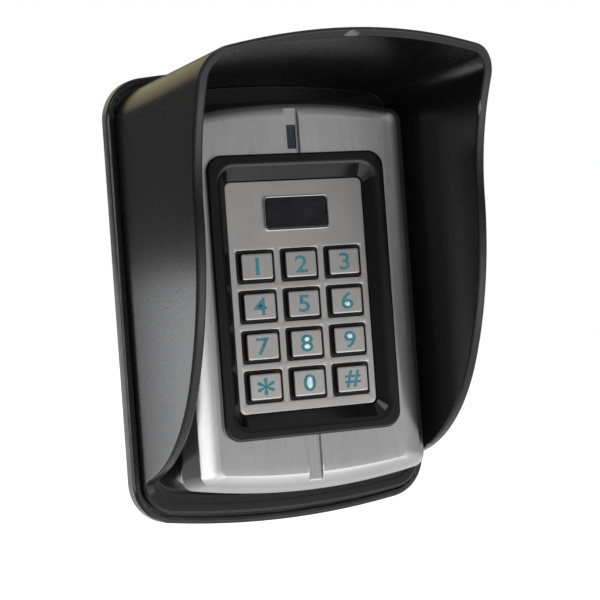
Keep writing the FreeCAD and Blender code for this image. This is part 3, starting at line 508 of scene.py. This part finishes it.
class READER_OT_finishes(Operator):
    """Give every carried-over node its finish"""

    bl_idname = "reader.finishes"
    bl_label = "Finishes"

    def execute(self, context):
        colours = context.scene.reader_colours
        FINISHES.update(all_finishes(colours))
        FINISHES["numeral"] = lit_finish("numeral_teal", tuple(colours.numeral), 0.12)
        FINISHES["glow"] = lit_finish("numeral_light", tuple(colours.glow), 0.16)
        slots = node_slots()
        missing = sorted(set(frame["nodes"]) - set(slots))
        if missing:
            raise RuntimeError("no finish for the nodes " + ", ".join(missing))
        for name, slot in slots.items():
            held = frame["nodes"][name].data.materials
            for place in range(len(held)):
                held[place] = FINISHES[slot]
        return {"FINISHED"}


def front_edge(z, hood):
    """The depth of the hood's front edge at a height.

    From the bottom: the flat lip, a small hollow heel, a long bulging arc, a flatter bulging arc that
    ends level at the waist, and above it a hollow arc that runs out to the brow. Each arc is tangent
    to the next.
    """
    level, join = 0.025, -0.025  # heights of the waist and of the place where the bulging arcs meet
    brow, upper, lower, heel = 0.075, 0.108, 0.0608, 0.004  # the arcs' radii
    upper_d = hood.waist - upper
    sweep = math.asin((level - join) / upper)
    lower_d = upper_d + (upper - lower) * math.cos(sweep)
    lower_z = join + lower * math.sin(sweep)
    heel_d = hood.lip + heel
    drop = math.acos((heel_d - lower_d) / (lower + heel))
    heel_z = lower_z - (lower + heel) * math.sin(drop)
    meet = heel_z + heel * math.sin(drop)

    def arc(radius, middle):
        return np.sqrt(np.maximum(radius**2 - (z - middle) ** 2, 0.0))

    return np.select(
        [z >= level, z >= join, z >= meet, z >= heel_z],
        [hood.waist + brow - arc(brow, level), upper_d + arc(upper, level),
         lower_d + arc(lower, lower_z), heel_d - arc(heel, heel_z)],
        hood.lip,
    )


def between(back, front, back_depth, front_depth, depth):
    """Points on the straight lines that join two outlines, at the given depths."""
    share = ((depth - back_depth) / (front_depth - back_depth))[:, None]
    return back + (front - back) * share


def edge_depths(back, front, back_depth, front_depth, hood):
    """The depth where each straight line of the wall meets the front edge, found by repetition."""
    depth = np.full(len(back), hood.waist)
    for _ in range(40):
        height = between(back, front, back_depth, front_depth, depth)[:, 1]
        depth = 0.4 * depth + 0.6 * front_edge(height, hood)
    return depth


class READER_OT_hood(Operator):
    """Build the hood's shell with its softened front edge"""

    bl_idname = "reader.hood"
    bl_label = "Hood"

    def execute(self, context):
        hood = context.scene.hood_sizes
        heights = np.linspace(-0.0597, 0.0640, 1500)
        run = np.hypot(np.diff(heights), np.diff(front_edge(heights, hood)))
        run = np.concatenate([[0.0], np.cumsum(run)])
        side = np.interp(np.linspace(0, run[-1], hood.rows + 1), run, even(1499))
        wide, front_wide, crown, front_crown, foot = HOOD_HIGH.x, 0.0483, 0.0702, 0.0751, -0.0702
        rise, front_rise, inner_rise, inner_front_rise = 0.0040, 0.0061, 0.00348, 0.0053
        corner, front_corner, wall, roof = 0.0105, 0.0095, hood.wall, hood.roof
        floor, reach = 0.0035, 0.085
        shared = {"bow": even_bow(56), "side": side, "turn": 14}
        outer_back = arch(wide, crown, foot, rise, rise, corner, **shared)
        outer_front = arch(front_wide, front_crown, foot, front_rise, rise, front_corner, **shared)
        inner_back = arch(
            wide - wall, crown - roof, foot + wall, inner_rise, inner_rise, corner - wall, **shared
        )
        inner_front = arch(
            front_wide - wall, front_crown - roof, foot + wall, inner_front_rise, inner_rise,
            front_corner - wall, **shared
        )
        inner_floor = floor + hood.flange
        outer_edge = edge_depths(outer_back, outer_front, floor, reach, hood)
        inner_edge = edge_depths(inner_back, inner_front, inner_floor, reach, hood)
        rings, radii = [], [0.0004, 0.0, hood.outer_round, hood.inner_round, 0.0, 0.0005, 0.0004, 0.0]
        for share in (0.0, 0.5, 1.0):
            depth = floor + (outer_edge - floor) * share
            rings.append(ring(between(outer_back, outer_front, floor, reach, depth), depth))
        for share in (1.0, 0.5, 0.0):
            depth = inner_floor + (inner_edge - inner_floor) * share
            rings.append(ring(between(inner_back, inner_front, inner_floor, reach, depth), depth))
        mouth = arch(0.0437, 0.0622, -0.0644, 0.0043, 0.0043, 0.0049, **shared)
        rings += [ring(mouth, inner_floor), ring(mouth, floor)]
        put("hood_shell", skin(soften(rings, radii, 6)), "guard_plastic", "guard_hood")
        return {"FINISHED"}


def sorted_bow(marks, count):
    """Places across a bow: exact marks near the middle, and equal steps beyond them."""
    marks = np.unique(np.round(np.concatenate([marks, -np.asarray(marks)]), 7))

    def bow(reach):
        outer = np.linspace(reach, marks[-1], count, endpoint=False)
        return np.concatenate([outer, marks[::-1], -outer[::-1]])

    return bow


def round_hole(rings, depth, radius, sink):
    """Turn the square of grid lines round a place on the bottom edge into a round, sunk hole.

    A point's square distance (the larger of its two offsets) becomes its true distance, so grid
    lines become circles; further out the change fades away. Points inside the radius are raised.
    """
    low = rings[..., 2] < -0.060  # only the bottom wall
    across, along = rings[..., 0], -rings[..., 1] - depth
    square = np.maximum(np.abs(across), np.abs(along))
    fade = np.clip((square - radius * 1.08) / (radius * 0.25), 0, 1)
    true = np.maximum(np.hypot(across, along), 1e-9)
    factor = np.where(low & (square < radius * 1.33), (square * (1 - fade) + true * fade) / true, 1.0)
    rings[..., 0] = across * factor
    rings[..., 1] = -(along * factor + depth)
    rings[..., 2] += np.where(low & (square < radius * 0.99), sink, 0.0)


class READER_OT_housing(Operator):
    """Build the metal front housing with its groove, window recess and security hole

    From the face to the knee the depth falls by 0.48 of the share of the way and 0.52 of that share
    to the power of 2.5, so the slope steepens evenly from a faint crease. Down the middle the depth
    is held to the groove's floor, and the limit rises over the soft edge by 3 s^2 - 2 s^3.
    """

    bl_idname = "reader.housing"
    bl_label = "Housing"

    def execute(self, context):
        case = context.scene.housing_sizes
        hole, hole_sink, groove, soft, window = 0.0027, 0.0011, case.groove, 0.0002, 0.0015
        spots = np.array([0, 0.3, 0.6, 0.8, 0.97, 1.0, 1.03, 1.15, 1.33]) * hole
        marks = [*(window * np.array([0.96, 1.0, 1.04])),
                 *(groove + soft * np.array([-1.0, -0.5, -0.25, 0.0, 0.25, 0.5, 1.0]))]
        shared = {"bow": sorted_bow(np.concatenate([spots, marks]), 14), "side": even(40), "turn": 12}
        wide, top, bottom = SHELL_HIGH.x, 0.061, -0.0632
        side = arch(wide, top, bottom, 0.0043, 0.0043, 0.0043, **shared)
        knee = arch(0.0386, top - 0.0019, bottom + 0.0019, 0.0037, 0.0037, 0.0036, **shared)
        face = arch(0.0320, 0.0549, -0.0571, 0.002, 0.002, 0.0024, **shared)
        neck = panel(0.0580, 0.0856, 0.0038, 0, -0.001, shared["bow"], shared["side"], 12)
        inside = arch(
            wide - case.wall, top - case.wall, bottom + case.wall, 0.0039, 0.0039, 0.0021, **shared
        )
        back, hole_depth = 0.0044, 0.012
        rings, radii = [], []

        def add(points, depth, radius=0.0):
            rings.append(ring(points, depth))
            radii.append(radius)

        add(side, back, 0.0003)
        for offset in np.unique(np.concatenate([-spots, spots])):
            add(side, hole_depth + offset)
        add(side, 0.0185)
        add(side, case.shoulder, 0.0022)
        drop = case.front - case.knee
        for share in np.linspace(1.0, 0.0, 15):
            add(face + (knee - face) * share, case.front - drop * (0.48 * share + 0.52 * share**2.5))
        for share in (0.19, 0.198, 0.763, 0.771, 0.92):
            add(face + (neck - face) * share, case.front)
        add(neck, case.front, 0.0002)
        add(neck, case.knee)
        add(inside, case.knee - 0.0055)
        add(inside, back)
        sheet = np.asarray(soften(rings, radii, 5))
        round_hole(sheet, hole_depth, hole, hole_sink)
        across, depth, height = np.abs(sheet[..., 0]), -sheet[..., 1], sheet[..., 2]
        step = np.clip((across - groove + soft) / (2 * soft), 0, 1)
        limit = case.groove_floor + 0.0011 * step**2 * (3 - 2 * step)
        on_front = depth > 0.0286
        lowered = np.where((across < groove + 1.1 * soft) & on_front, np.minimum(depth, limit), depth)
        recess = (across < 1.02 * window) & (height > 0.0449) & (height < 0.0524) & on_front
        sheet[..., 1] = -np.where(recess, case.window_floor, lowered)
        put("front_shell", skin(sheet), "housing_metal", "front_housing", crease=24.0)
        return {"FINISHED"}


class READER_OT_bezel(Operator):
    """Build the gloss bezel: round outer edge, broadly rounded ridge, inner slope"""

    bl_idname = "reader.bezel"
    bl_label = "Bezel"

    def execute(self, context):
        pad = context.scene.keypad_sizes
        front = -BEZEL_LOW.y
        wide, high = 2 * BEZEL_HIGH.x, BEZEL_HIGH.z - BEZEL_LOW.z
        middle = (BEZEL_HIGH.z + BEZEL_LOW.z) / 2
        plate_wide, plate_high = 2 * PLATE_HIGH.x, PLATE_HIGH.z - PLATE_LOW.z
        plate_middle = (PLATE_HIGH.z + PLATE_LOW.z) / 2
        ledge, seat, base = 0.0276, pad.seat, 0.0305
        slip, rebate = 0.0005, 0.0034
        shared = {"bow": even_bow(40), "side": even(60), "turn": 12}
        outer = panel(wide, high, 0.0054, 0, middle, **shared)
        ridge = panel(wide - 2 * pad.land, high - 2 * pad.land, 0.0055, 0, middle, **shared)
        mouth = panel(plate_wide + slip, plate_high + slip, 0.0020, 0, plate_middle, **shared)
        neck = panel(wide - rebate, high - rebate, 0.0037, 0, middle, **shared)
        rings = [ring(outer, base), ring(outer, front), ring(ridge, front), ring(mouth, seat),
                 ring(mouth, ledge), ring(neck, ledge), ring(neck, base)]
        sheet = skin(soften(rings, [0.0002, 0.0013, 0.0030, 0.0003, 0, 0.0002, 0], 8))
        put("bezel_ring", sheet, "bezel_gloss", "bezel_frame")
        return {"FINISHED"}


def key_spots(pad):
    """Each key's name and its centre."""
    top = (CAP_LOW.z + CAP_HIGH.z) / 2 + pad.row_pitch
    return [
        (name, (column - 1) * pad.pitch, top - row * pad.row_pitch)
        for row, names in enumerate(KEYS)
        for column, name in enumerate(names)
    ]


class READER_OT_plate(Operator):
    """Build the keypad plate with a softened well for each key"""

    bl_idname = "reader.plate"
    bl_label = "Keypad plate"

    def execute(self, context):
        pad = context.scene.keypad_sizes
        front, back = -PLATE_LOW.y, -PLATE_HIGH.y
        steps, turn, edge_round = 10, 8, 0.00028
        parts = []
        spots = key_spots(pad)
        for _, x, z in spots:
            cell = panel(pad.pitch, pad.row_pitch, 0.0, x, z, even_bow(steps), even(steps), turn)
            well = panel(pad.well_wide, pad.well_high, 0.0009, x, z, even_bow(steps), even(steps), turn)
            rings = [ring(cell, front), ring(well, front), ring(well, back), ring(cell, back)]
            parts.append(skin(soften(rings, [0, edge_round, 0, 0])))
        middle = (spots[0][2] + spots[-1][2]) / 2
        shared = {"bow": even_bow(3 * steps), "side": even(4 * steps), "turn": turn}
        block = panel(3 * pad.pitch, 4 * pad.row_pitch, 0.0, 0, middle, **shared)
        wide, high = 2 * PLATE_HIGH.x, PLATE_HIGH.z - PLATE_LOW.z
        edge = panel(wide, high, 0.0020, 0, (PLATE_HIGH.z + PLATE_LOW.z) / 2, **shared)
        rings = [ring(edge, back), ring(edge, front), ring(block, front), ring(block, back)]
        parts.append(skin(soften(rings, [0, edge_round, 0, 0])))
        points, faces = gather(parts)
        faces = [face for face in faces if not is_inner(points[face], pad, middle)]
        put("plate_face", (points, faces), "keypad_metal", "keypad_plate")
        return {"FINISHED"}


def is_inner(corners, pad, middle):
    """Whether a face is an upright wall between a cell and its neighbour, which isn't there."""
    reach = np.abs(corners[:, [0, 2]] - np.array([0.0, middle]))
    lines_x = np.array([0.5, 1.5]) * pad.pitch
    lines_z = np.array([0.0, 1.0, 2.0]) * pad.row_pitch
    flat_x = np.ptp(corners[:, 0]) < 1e-6 and np.min(np.abs(lines_x - reach[0, 0])) < 1e-6
    flat_z = np.ptp(corners[:, 2]) < 1e-6 and np.min(np.abs(lines_z - reach[0, 1])) < 1e-6
    return bool((flat_x or flat_z) and np.ptp(corners[:, 1]) > 1e-4)


class READER_OT_keys(Operator):
    """Build the metal face of each key and its numeral"""

    bl_idname = "reader.keys"
    bl_label = "Keys"

    def execute(self, context):
        pad = context.scene.keypad_sizes
        wide, high = CAP_HIGH.x - CAP_LOW.x, CAP_HIGH.z - CAP_LOW.z
        back, front = -CAP_HIGH.y, -CAP_LOW.y
        corner, inset_corner, margin = 0.0007, 0.0005, 0.0006
        for name, x, z in key_spots(pad):
            outline = panel(wide, high, corner, x, z)
            inset = panel(wide - 2 * margin, high - 2 * margin, inset_corner, x, z)
            rings = [ring(inset, back), ring(outline, back), ring(outline, front), ring(inset, front)]
            sheet = skin(soften(rings, [0, 0.0001, 0.0003, 0], 4), closed=False)
            put("key_face_" + name, sheet, "keypad_metal", "key_cap_" + name, "key_" + name)
            draw_mark(name, x, z, front, pad.digit)
        return {"FINISHED"}


def draw_mark(name, x, z, depth, height):
    """A numeral on a key: the drawn strokes, and a pale lit centre in each closed loop of it."""
    widening, strokes_lift, light_lift = 1.25, 2.5e-5, 1.5e-5
    curve = bpy.data.curves.new("mark_" + name, "FONT")
    curve.body = MARKS.get(name, name)
    curve.resolution_u = 8
    curve.offset = 0.014
    maker = bpy.data.objects.new("mark_maker", curve)
    bpy.context.scene.collection.objects.link(maker)
    flat = bpy.data.meshes.new_from_object(maker)
    outline = np.array([v.co for v in flat.vertices])
    low, high = outline.min(0), outline.max(0)
    size = height / (high[1] - low[1]) * np.array([widening, 1.0, 1.0])
    centre = (low + high) / 2
    strokes = raised(flat, centre, size, x, z, depth + strokes_lift)
    put_flat("numeral_" + name, strokes, FINISHES["numeral"], "key_" + name)
    loops = closed_loops(flat)
    if loops and name not in MARKS:
        pale = bpy.data.meshes.new("loops")
        pale.from_pydata([c.tolist() for loop in loops for c in loop], [], loop_faces(loops))
        lights = raised(pale, centre, size, x, z, depth + light_lift)
        put_flat("numeral_light_" + name, lights, FINISHES["glow"], "key_" + name)
    bpy.data.objects.remove(maker)


def loop_faces(loops):
    """One face for each loop of points listed one after another."""
    starts = np.concatenate([[0], np.cumsum([len(loop) for loop in loops])])
    return [list(range(a, b)) for a, b in zip(starts[:-1], starts[1:])]


def closed_loops(mesh):
    """The inner boundary loops of a flat glyph: every boundary loop but the longest round it."""
    work = bmesh.new()
    work.from_mesh(mesh)
    bmesh.ops.remove_doubles(work, verts=work.verts, dist=1e-5)
    left = {edge for edge in work.edges if edge.is_boundary}
    loops = []
    while left:
        edge = left.pop()
        first, here = edge.verts
        loop = [first.co.copy(), here.co.copy()]
        while here != first:
            step = next((e for e in here.link_edges if e in left), None)
            if step is None:
                break
            left.discard(step)
            here = step.other_vert(here)
            loop.append(here.co.copy())
        loops.append(np.array([tuple(c) for c in loop[:-1]]))
    work.free()
    loops.sort(key=lambda loop: -np.ptp(loop[:, 0]) * np.ptp(loop[:, 1]))
    return loops[1:]


def raised(mesh, centre, size, x, z, depth):
    """The flat drawing's points scaled, stood upright and put at a place and depth."""
    points = (np.array([v.co for v in mesh.vertices]) - centre) * size
    placed = np.column_stack([points[:, 0] + x, np.full(len(points), -depth), points[:, 1] + z])
    return placed, [list(face.vertices) for face in mesh.polygons]


def put_flat(name, sheet, finish_used, body):
    """A thin printed layer with a real thickness, facing the viewer."""
    points, faces = sheet
    mesh = bpy.data.meshes.new(name)
    mesh.from_pydata(points.tolist(), [], faces)
    work = bmesh.new()
    work.from_mesh(mesh)
    bmesh.ops.remove_doubles(work, verts=work.verts, dist=1e-7)
    bmesh.ops.recalc_face_normals(work, faces=work.faces)
    if sum(face.normal.y * face.calc_area() for face in work.faces) > 0:
        bmesh.ops.reverse_faces(work, faces=work.faces)
    work.to_mesh(mesh)
    work.free()
    piece = bpy.data.objects.new(name, mesh)
    bpy.context.scene.collection.objects.link(piece)
    thick = piece.modifiers.new("layer", "SOLIDIFY")
    thick.thickness = 6e-5
    thick.offset = -1.0
    mesh.materials.append(finish_used)
    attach(piece, body)


class READER_OT_badge(Operator):
    """Build the blank badge: a polished rim round a gloss panel"""

    bl_idname = "reader.badge"
    bl_label = "Badge"

    def execute(self, context):
        low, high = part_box("badge_frame")
        wide, tall, middle = high.x - low.x, high.z - low.z, (high.z + low.z) / 2
        front, back = -low.y, -high.y
        low_edge, high_edge = front - 0.00045, front - 0.0002

        def inset(margin, corner):
            narrower, shorter = wide - 2 * margin, tall - 2 * margin
            return panel(narrower, shorter, corner, 0, middle, even_bow(24), even(16), 10)

        outer, inner = inset(0.0, 0.0015), inset(0.00045, 0.0011)
        rings = [ring(outer, back), ring(outer, front), ring(inner, front), ring(inner, back)]
        put("badge_rim", skin(soften(rings, [0, 0.0002, 0.0002, 0], 5)), "badge_chrome", "badge_frame")
        field, crown = inset(0.0004, 0.0011), inset(0.0010, 0.0008)
        rings = [ring(field, back), ring(field, low_edge), ring(crown, high_edge)]
        sheet = skin(soften(rings, [0, 0.0002, 0], 4), closed=False)
        put("badge_panel", sheet, "badge_gloss", "badge_inlay")
        return {"FINISHED"}


def screw_head(x, z, back, front, radius):
    """A pan head seen from behind, on a grid of radius and angle.

    Its height is a shallow dome that falls to a short rim; a cross recess, deepest at the centre,
    is cut where the smaller of the two offsets is under half a slot and the larger is short.
    """
    radial = np.concatenate([np.linspace(1.0, 0.86, 4), np.linspace(0.80, 0.04, 22)])
    angle = np.linspace(0, 2 * math.pi, 96, endpoint=False)
    r, a = np.meshgrid(radial, angle, indexing="ij")
    dome = np.where(r > 0.86, 0.55 + 0.45 * np.sqrt(np.clip(1 - ((r - 0.86) / 0.14) ** 2, 0, 1)), 1.0)
    u, v = np.abs(r * np.cos(a)), np.abs(r * np.sin(a))
    narrow, short = np.minimum(u, v), np.maximum(u, v)
    slot = np.clip((0.13 - narrow) / 0.05, 0, 1) * np.clip((0.58 - short) / 0.06, 0, 1)
    rise = (front - back) * (dome - 0.62 * slot)
    depth = front - rise
    rings = np.stack([x + radius * r * np.cos(a), -depth, z - radius * r * np.sin(a)], -1)
    base = rings[0].copy()
    base[:, 1] = -front
    return skin([base, *rings], closed=False)


class READER_OT_screws(Operator):
    """Build the cross-headed screws that hold the hood from behind"""

    bl_idname = "reader.screws"
    bl_label = "Hood screws"

    def execute(self, context):
        low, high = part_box("guard_hood_screws")
        radius, under_head, shank_radius, tip_radius, tip = 0.00275, 0.0016, 0.0012, 0.0007, 0.0004
        across, up = high.x - radius, high.z - radius
        shank = [(shank_radius, 0.0015), (shank_radius, -low.y - tip), (tip_radius, -low.y)]
        parts = []
        for x in (-across, across):
            for z in (-up, up):
                parts.append(screw_head(x, z, -high.y, under_head, radius))
                parts.append(turned_piece(shank, x, z))
        put("hood_screws", gather(parts), "zinc_steel", "guard_hood_screws")
        return {"FINISHED"}


WHITE, COOL, WARM = (1.0, 1.0, 1.0), (0.97, 0.985, 1.0), (1.0, 0.86, 0.40)
MIDDLE = (0.0, -0.04, 0.0)
# Each lamp's name, place, target, width and height, power in watts, colour, and the one piece that it
# lights, or None where it lights everything.
LAMPS = (
    ("front_right_box", (0.50, -1.10, -0.60), MIDDLE, (0.9, 0.5), 1.6, WHITE, None),
    ("left_near_box", (-0.132, 0.120, -0.052), (-0.056, -0.043, -0.052), (0.036, 0.125), 0.045, COOL,
     None),
    ("warm_behind_box", (-0.12, 1.00, 0.42), MIDDLE, (0.6, 0.3), 0.35, WARM, None),
    ("low_fill_box", (0.0, -0.75, -0.85), MIDDLE, (1.0, 0.8), 0.8, WHITE, None),
    ("right_side_box", (0.86, -0.84, 0.60), MIDDLE, (0.30, 0.9), 6.5, WHITE, "front_shell"),
    ("front_left_box", (-0.45, -1.05, -0.30), MIDDLE, (0.7, 0.5), 3.0, WHITE, "front_shell"),
    ("top_box", (-0.8, -0.9, 0.9), MIDDLE, (0.7, 0.7), 3.0, WHITE, None),
)


def softbox(name, place, target, size, power, colour, only):
    """A rectangular lamp at a place, turned to its target.

    Where one piece is named, the lamp lights only that piece, and only that piece shades it.
    """
    lamp = bpy.data.lights.new(name, "AREA")
    lamp.shape = "RECTANGLE"
    lamp.size, lamp.size_y = size
    lamp.energy = power
    lamp.color = colour
    holder = bpy.data.objects.new(name, lamp)
    holder.location = place
    way = Vector(target) - Vector(place)
    holder.rotation_euler = way.to_track_quat("-Z", "Y").to_euler()
    holder.visible_camera = False
    bpy.context.scene.collection.objects.link(holder)
    if only is not None:
        lit = bpy.data.collections.new(name + "_pieces")
        lit.objects.link(bpy.data.objects[only])
        holder.light_linking.receiver_collection = lit
        holder.light_linking.blocker_collection = lit


class READER_OT_stage(Operator):
    """Set the pale floor, the soft lamps and the camera"""

    bl_idname = "reader.stage"
    bl_label = "Stage"

    def execute(self, context):
        scene = context.scene
        scene.view_settings.view_transform = "Standard"
        self.floor()
        self.surround(scene)
        for lamp in LAMPS:
            softbox(*lamp)
        self.camera(scene)
        return {"FINISHED"}

    def floor(self):
        """A wide round floor, on a grid of radius and angle, seen only from above."""
        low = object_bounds()[0].z - 0.11
        around = 96
        angle = np.linspace(0, 2 * math.pi, around, endpoint=False)
        rings = [np.column_stack([r * np.cos(angle), r * np.sin(angle), np.full(around, low)])
                 for r in (6.0, 3.0, 1.5, 0.7, 0.3, 0.05)]
        points, faces = skin(rings, closed=False)
        mesh = bpy.data.meshes.new("floor")
        mesh.from_pydata(points.tolist(), [], faces[:-2] + faces[-1:])
        floor = bpy.data.objects.new("floor", mesh)
        bpy.context.scene.collection.objects.link(floor)
        tree = Tree("floor_white")
        share = tree.ranged(tree.noise(2.0), 0.3, 0.7, 0.0, 1.0)
        base = tree.colours(share, (0.86, 0.86, 0.86), (0.90, 0.90, 0.90))
        tree.link(base, tree.shader.inputs["Base Color"])
        tree.shader.inputs["Roughness"].default_value = 0.9
        tree.shader.inputs["Emission Color"].default_value = (1.0, 1.0, 1.0, 1.0)
        tree.shader.inputs["Emission Strength"].default_value = 1.0
        clear = tree.add("ShaderNodeBsdfTransparent")
        mix = tree.add("ShaderNodeMixShader")
        tree.link(tree.add("ShaderNodeNewGeometry").outputs["Backfacing"], mix.inputs[0])
        tree.link(tree.shader.outputs["BSDF"], mix.inputs[1])
        tree.link(clear.outputs["BSDF"], mix.inputs[2])
        out = next(node for node in tree.nodes if node.type == "OUTPUT_MATERIAL")
        tree.link(mix.outputs["Shader"], out.inputs["Surface"])
        mesh.materials.append(tree.material)
        floor.visible_glossy = False
        floor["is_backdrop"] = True

    def surround(self, scene):
        """A room that is white to look at and lights the object with a soft rise from below."""
        world = bpy.data.worlds.new("soft_room")
        world.use_nodes = True
        scene.world = world
        nodes, links = world.node_tree.nodes, world.node_tree.links
        nodes.clear()
        direction = nodes.new("ShaderNodeTexCoord").outputs["Generated"]
        split = nodes.new("ShaderNodeSeparateXYZ")
        links.new(direction, split.inputs["Vector"])
        spread = nodes.new("ShaderNodeMapRange")
        spread.inputs["From Min"].default_value = -1.0
        links.new(split.outputs["Z"], spread.inputs["Value"])
        ramp = nodes.new("ShaderNodeValToRGB")
        stops = ((0.0, 0.90), (0.36, 0.90), (0.46, 0.42), (0.51, 0.17), (0.66, 0.22), (1.0, 0.40))
        while len(ramp.color_ramp.elements) < len(stops):
            ramp.color_ramp.elements.new(0.5)
        for element, (place, level) in zip(ramp.color_ramp.elements, stops):
            element.position = place
            element.color = (level, level, level, 1.0)
        links.new(spread.outputs["Result"], ramp.inputs["Fac"])
        aside = nodes.new("ShaderNodeMapRange")
        for key, value in (("From Min", -0.9), ("From Max", 0.1), ("To Min", 0.30)):
            aside.inputs[key].default_value = value
        links.new(split.outputs["X"], aside.inputs["Value"])
        room, sky = nodes.new("ShaderNodeBackground"), nodes.new("ShaderNodeBackground")
        links.new(ramp.outputs["Color"], room.inputs["Color"])
        links.new(aside.outputs["Result"], room.inputs["Strength"])
        sky.inputs["Color"].default_value = (1.0, 1.0, 1.0, 1.0)
        mix = nodes.new("ShaderNodeMixShader")
        links.new(nodes.new("ShaderNodeLightPath").outputs["Is Camera Ray"], mix.inputs[0])
        links.new(room.outputs["Background"], mix.inputs[1])
        links.new(sky.outputs["Background"], mix.inputs[2])
        out = nodes.new("ShaderNodeOutputWorld")
        links.new(mix.outputs["Shader"], out.inputs["Surface"])

    def camera(self, scene):
        """A long lens, in front and to the left, level with the keypad and rolled by four degrees."""
        lens = bpy.data.cameras.new("camera")
        lens.lens, lens.sensor_width = 114.0, 36.0
        lens.clip_start, lens.clip_end = 0.01, 50.0
        eye = bpy.data.objects.new("camera", lens)
        scene.collection.objects.link(eye)
        target = Vector((-0.0007, -0.0288, -0.00285))
        ahead = Vector((0.4226, 0.9063, 0.001)).normalized()
        across = ahead.cross(Vector((0, 0, 1))).normalized()
        up = across.cross(ahead)
        roll = math.radians(4.11)
        right = across * math.cos(roll) - up * math.sin(roll)
        above = across * math.sin(roll) + up * math.cos(roll)
        distance = 0.5989
        place = target - ahead * distance
        eye.matrix_world = Matrix((
            (right.x, above.x, -ahead.x, place.x),
            (right.y, above.y, -ahead.y, place.y),
            (right.z, above.z, -ahead.z, place.z),
            (0, 0, 0, 1),
        ))
        scene.camera = eye


STEPS = ("finishes", "hood", "housing", "bezel", "plate", "keys", "badge", "screws", "stage")


class READER_PT_panel(Panel):
    """Lists the steps and the sizes"""

    bl_label = "Keypad reader"
    bl_idname = "READER_PT_panel"
    bl_space_type = "VIEW_3D"
    bl_region_type = "UI"
    bl_category = "Keypad reader"

    def draw(self, context):
        for step in STEPS:
            self.layout.operator("reader." + step)
        for group in ("hood_sizes", "housing_sizes", "keypad_sizes", "reader_colours"):
            box = self.layout.box()
            held = getattr(context.scene, group)
            for name in held.__annotations__:
                box.prop(held, name)


GROUPS = {
    "hood_sizes": HoodSizes,
    "housing_sizes": HousingSizes,
    "keypad_sizes": KeypadSizes,
    "reader_colours": Colours,
}
CLASSES = (
    READER_OT_finishes, READER_OT_hood, READER_OT_housing, READER_OT_bezel, READER_OT_plate,
    READER_OT_keys, READER_OT_badge, READER_OT_screws, READER_OT_stage, READER_PT_panel,
)


def register():
    for kind in (*GROUPS.values(), *CLASSES):
        bpy.utils.register_class(kind)
    for name, kind in GROUPS.items():
        setattr(bpy.types.Scene, name, PointerProperty(type=kind))


def unregister():
    for name in GROUPS:
        delattr(bpy.types.Scene, name)
    for kind in reversed((*GROUPS.values(), *CLASSES)):
        bpy.utils.unregister_class(kind)


def main():
    """Build everything in order."""
    register()
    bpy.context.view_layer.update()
    for step in STEPS:
        getattr(bpy.ops.reader, step)()


if __name__ == "__main__":
    main()
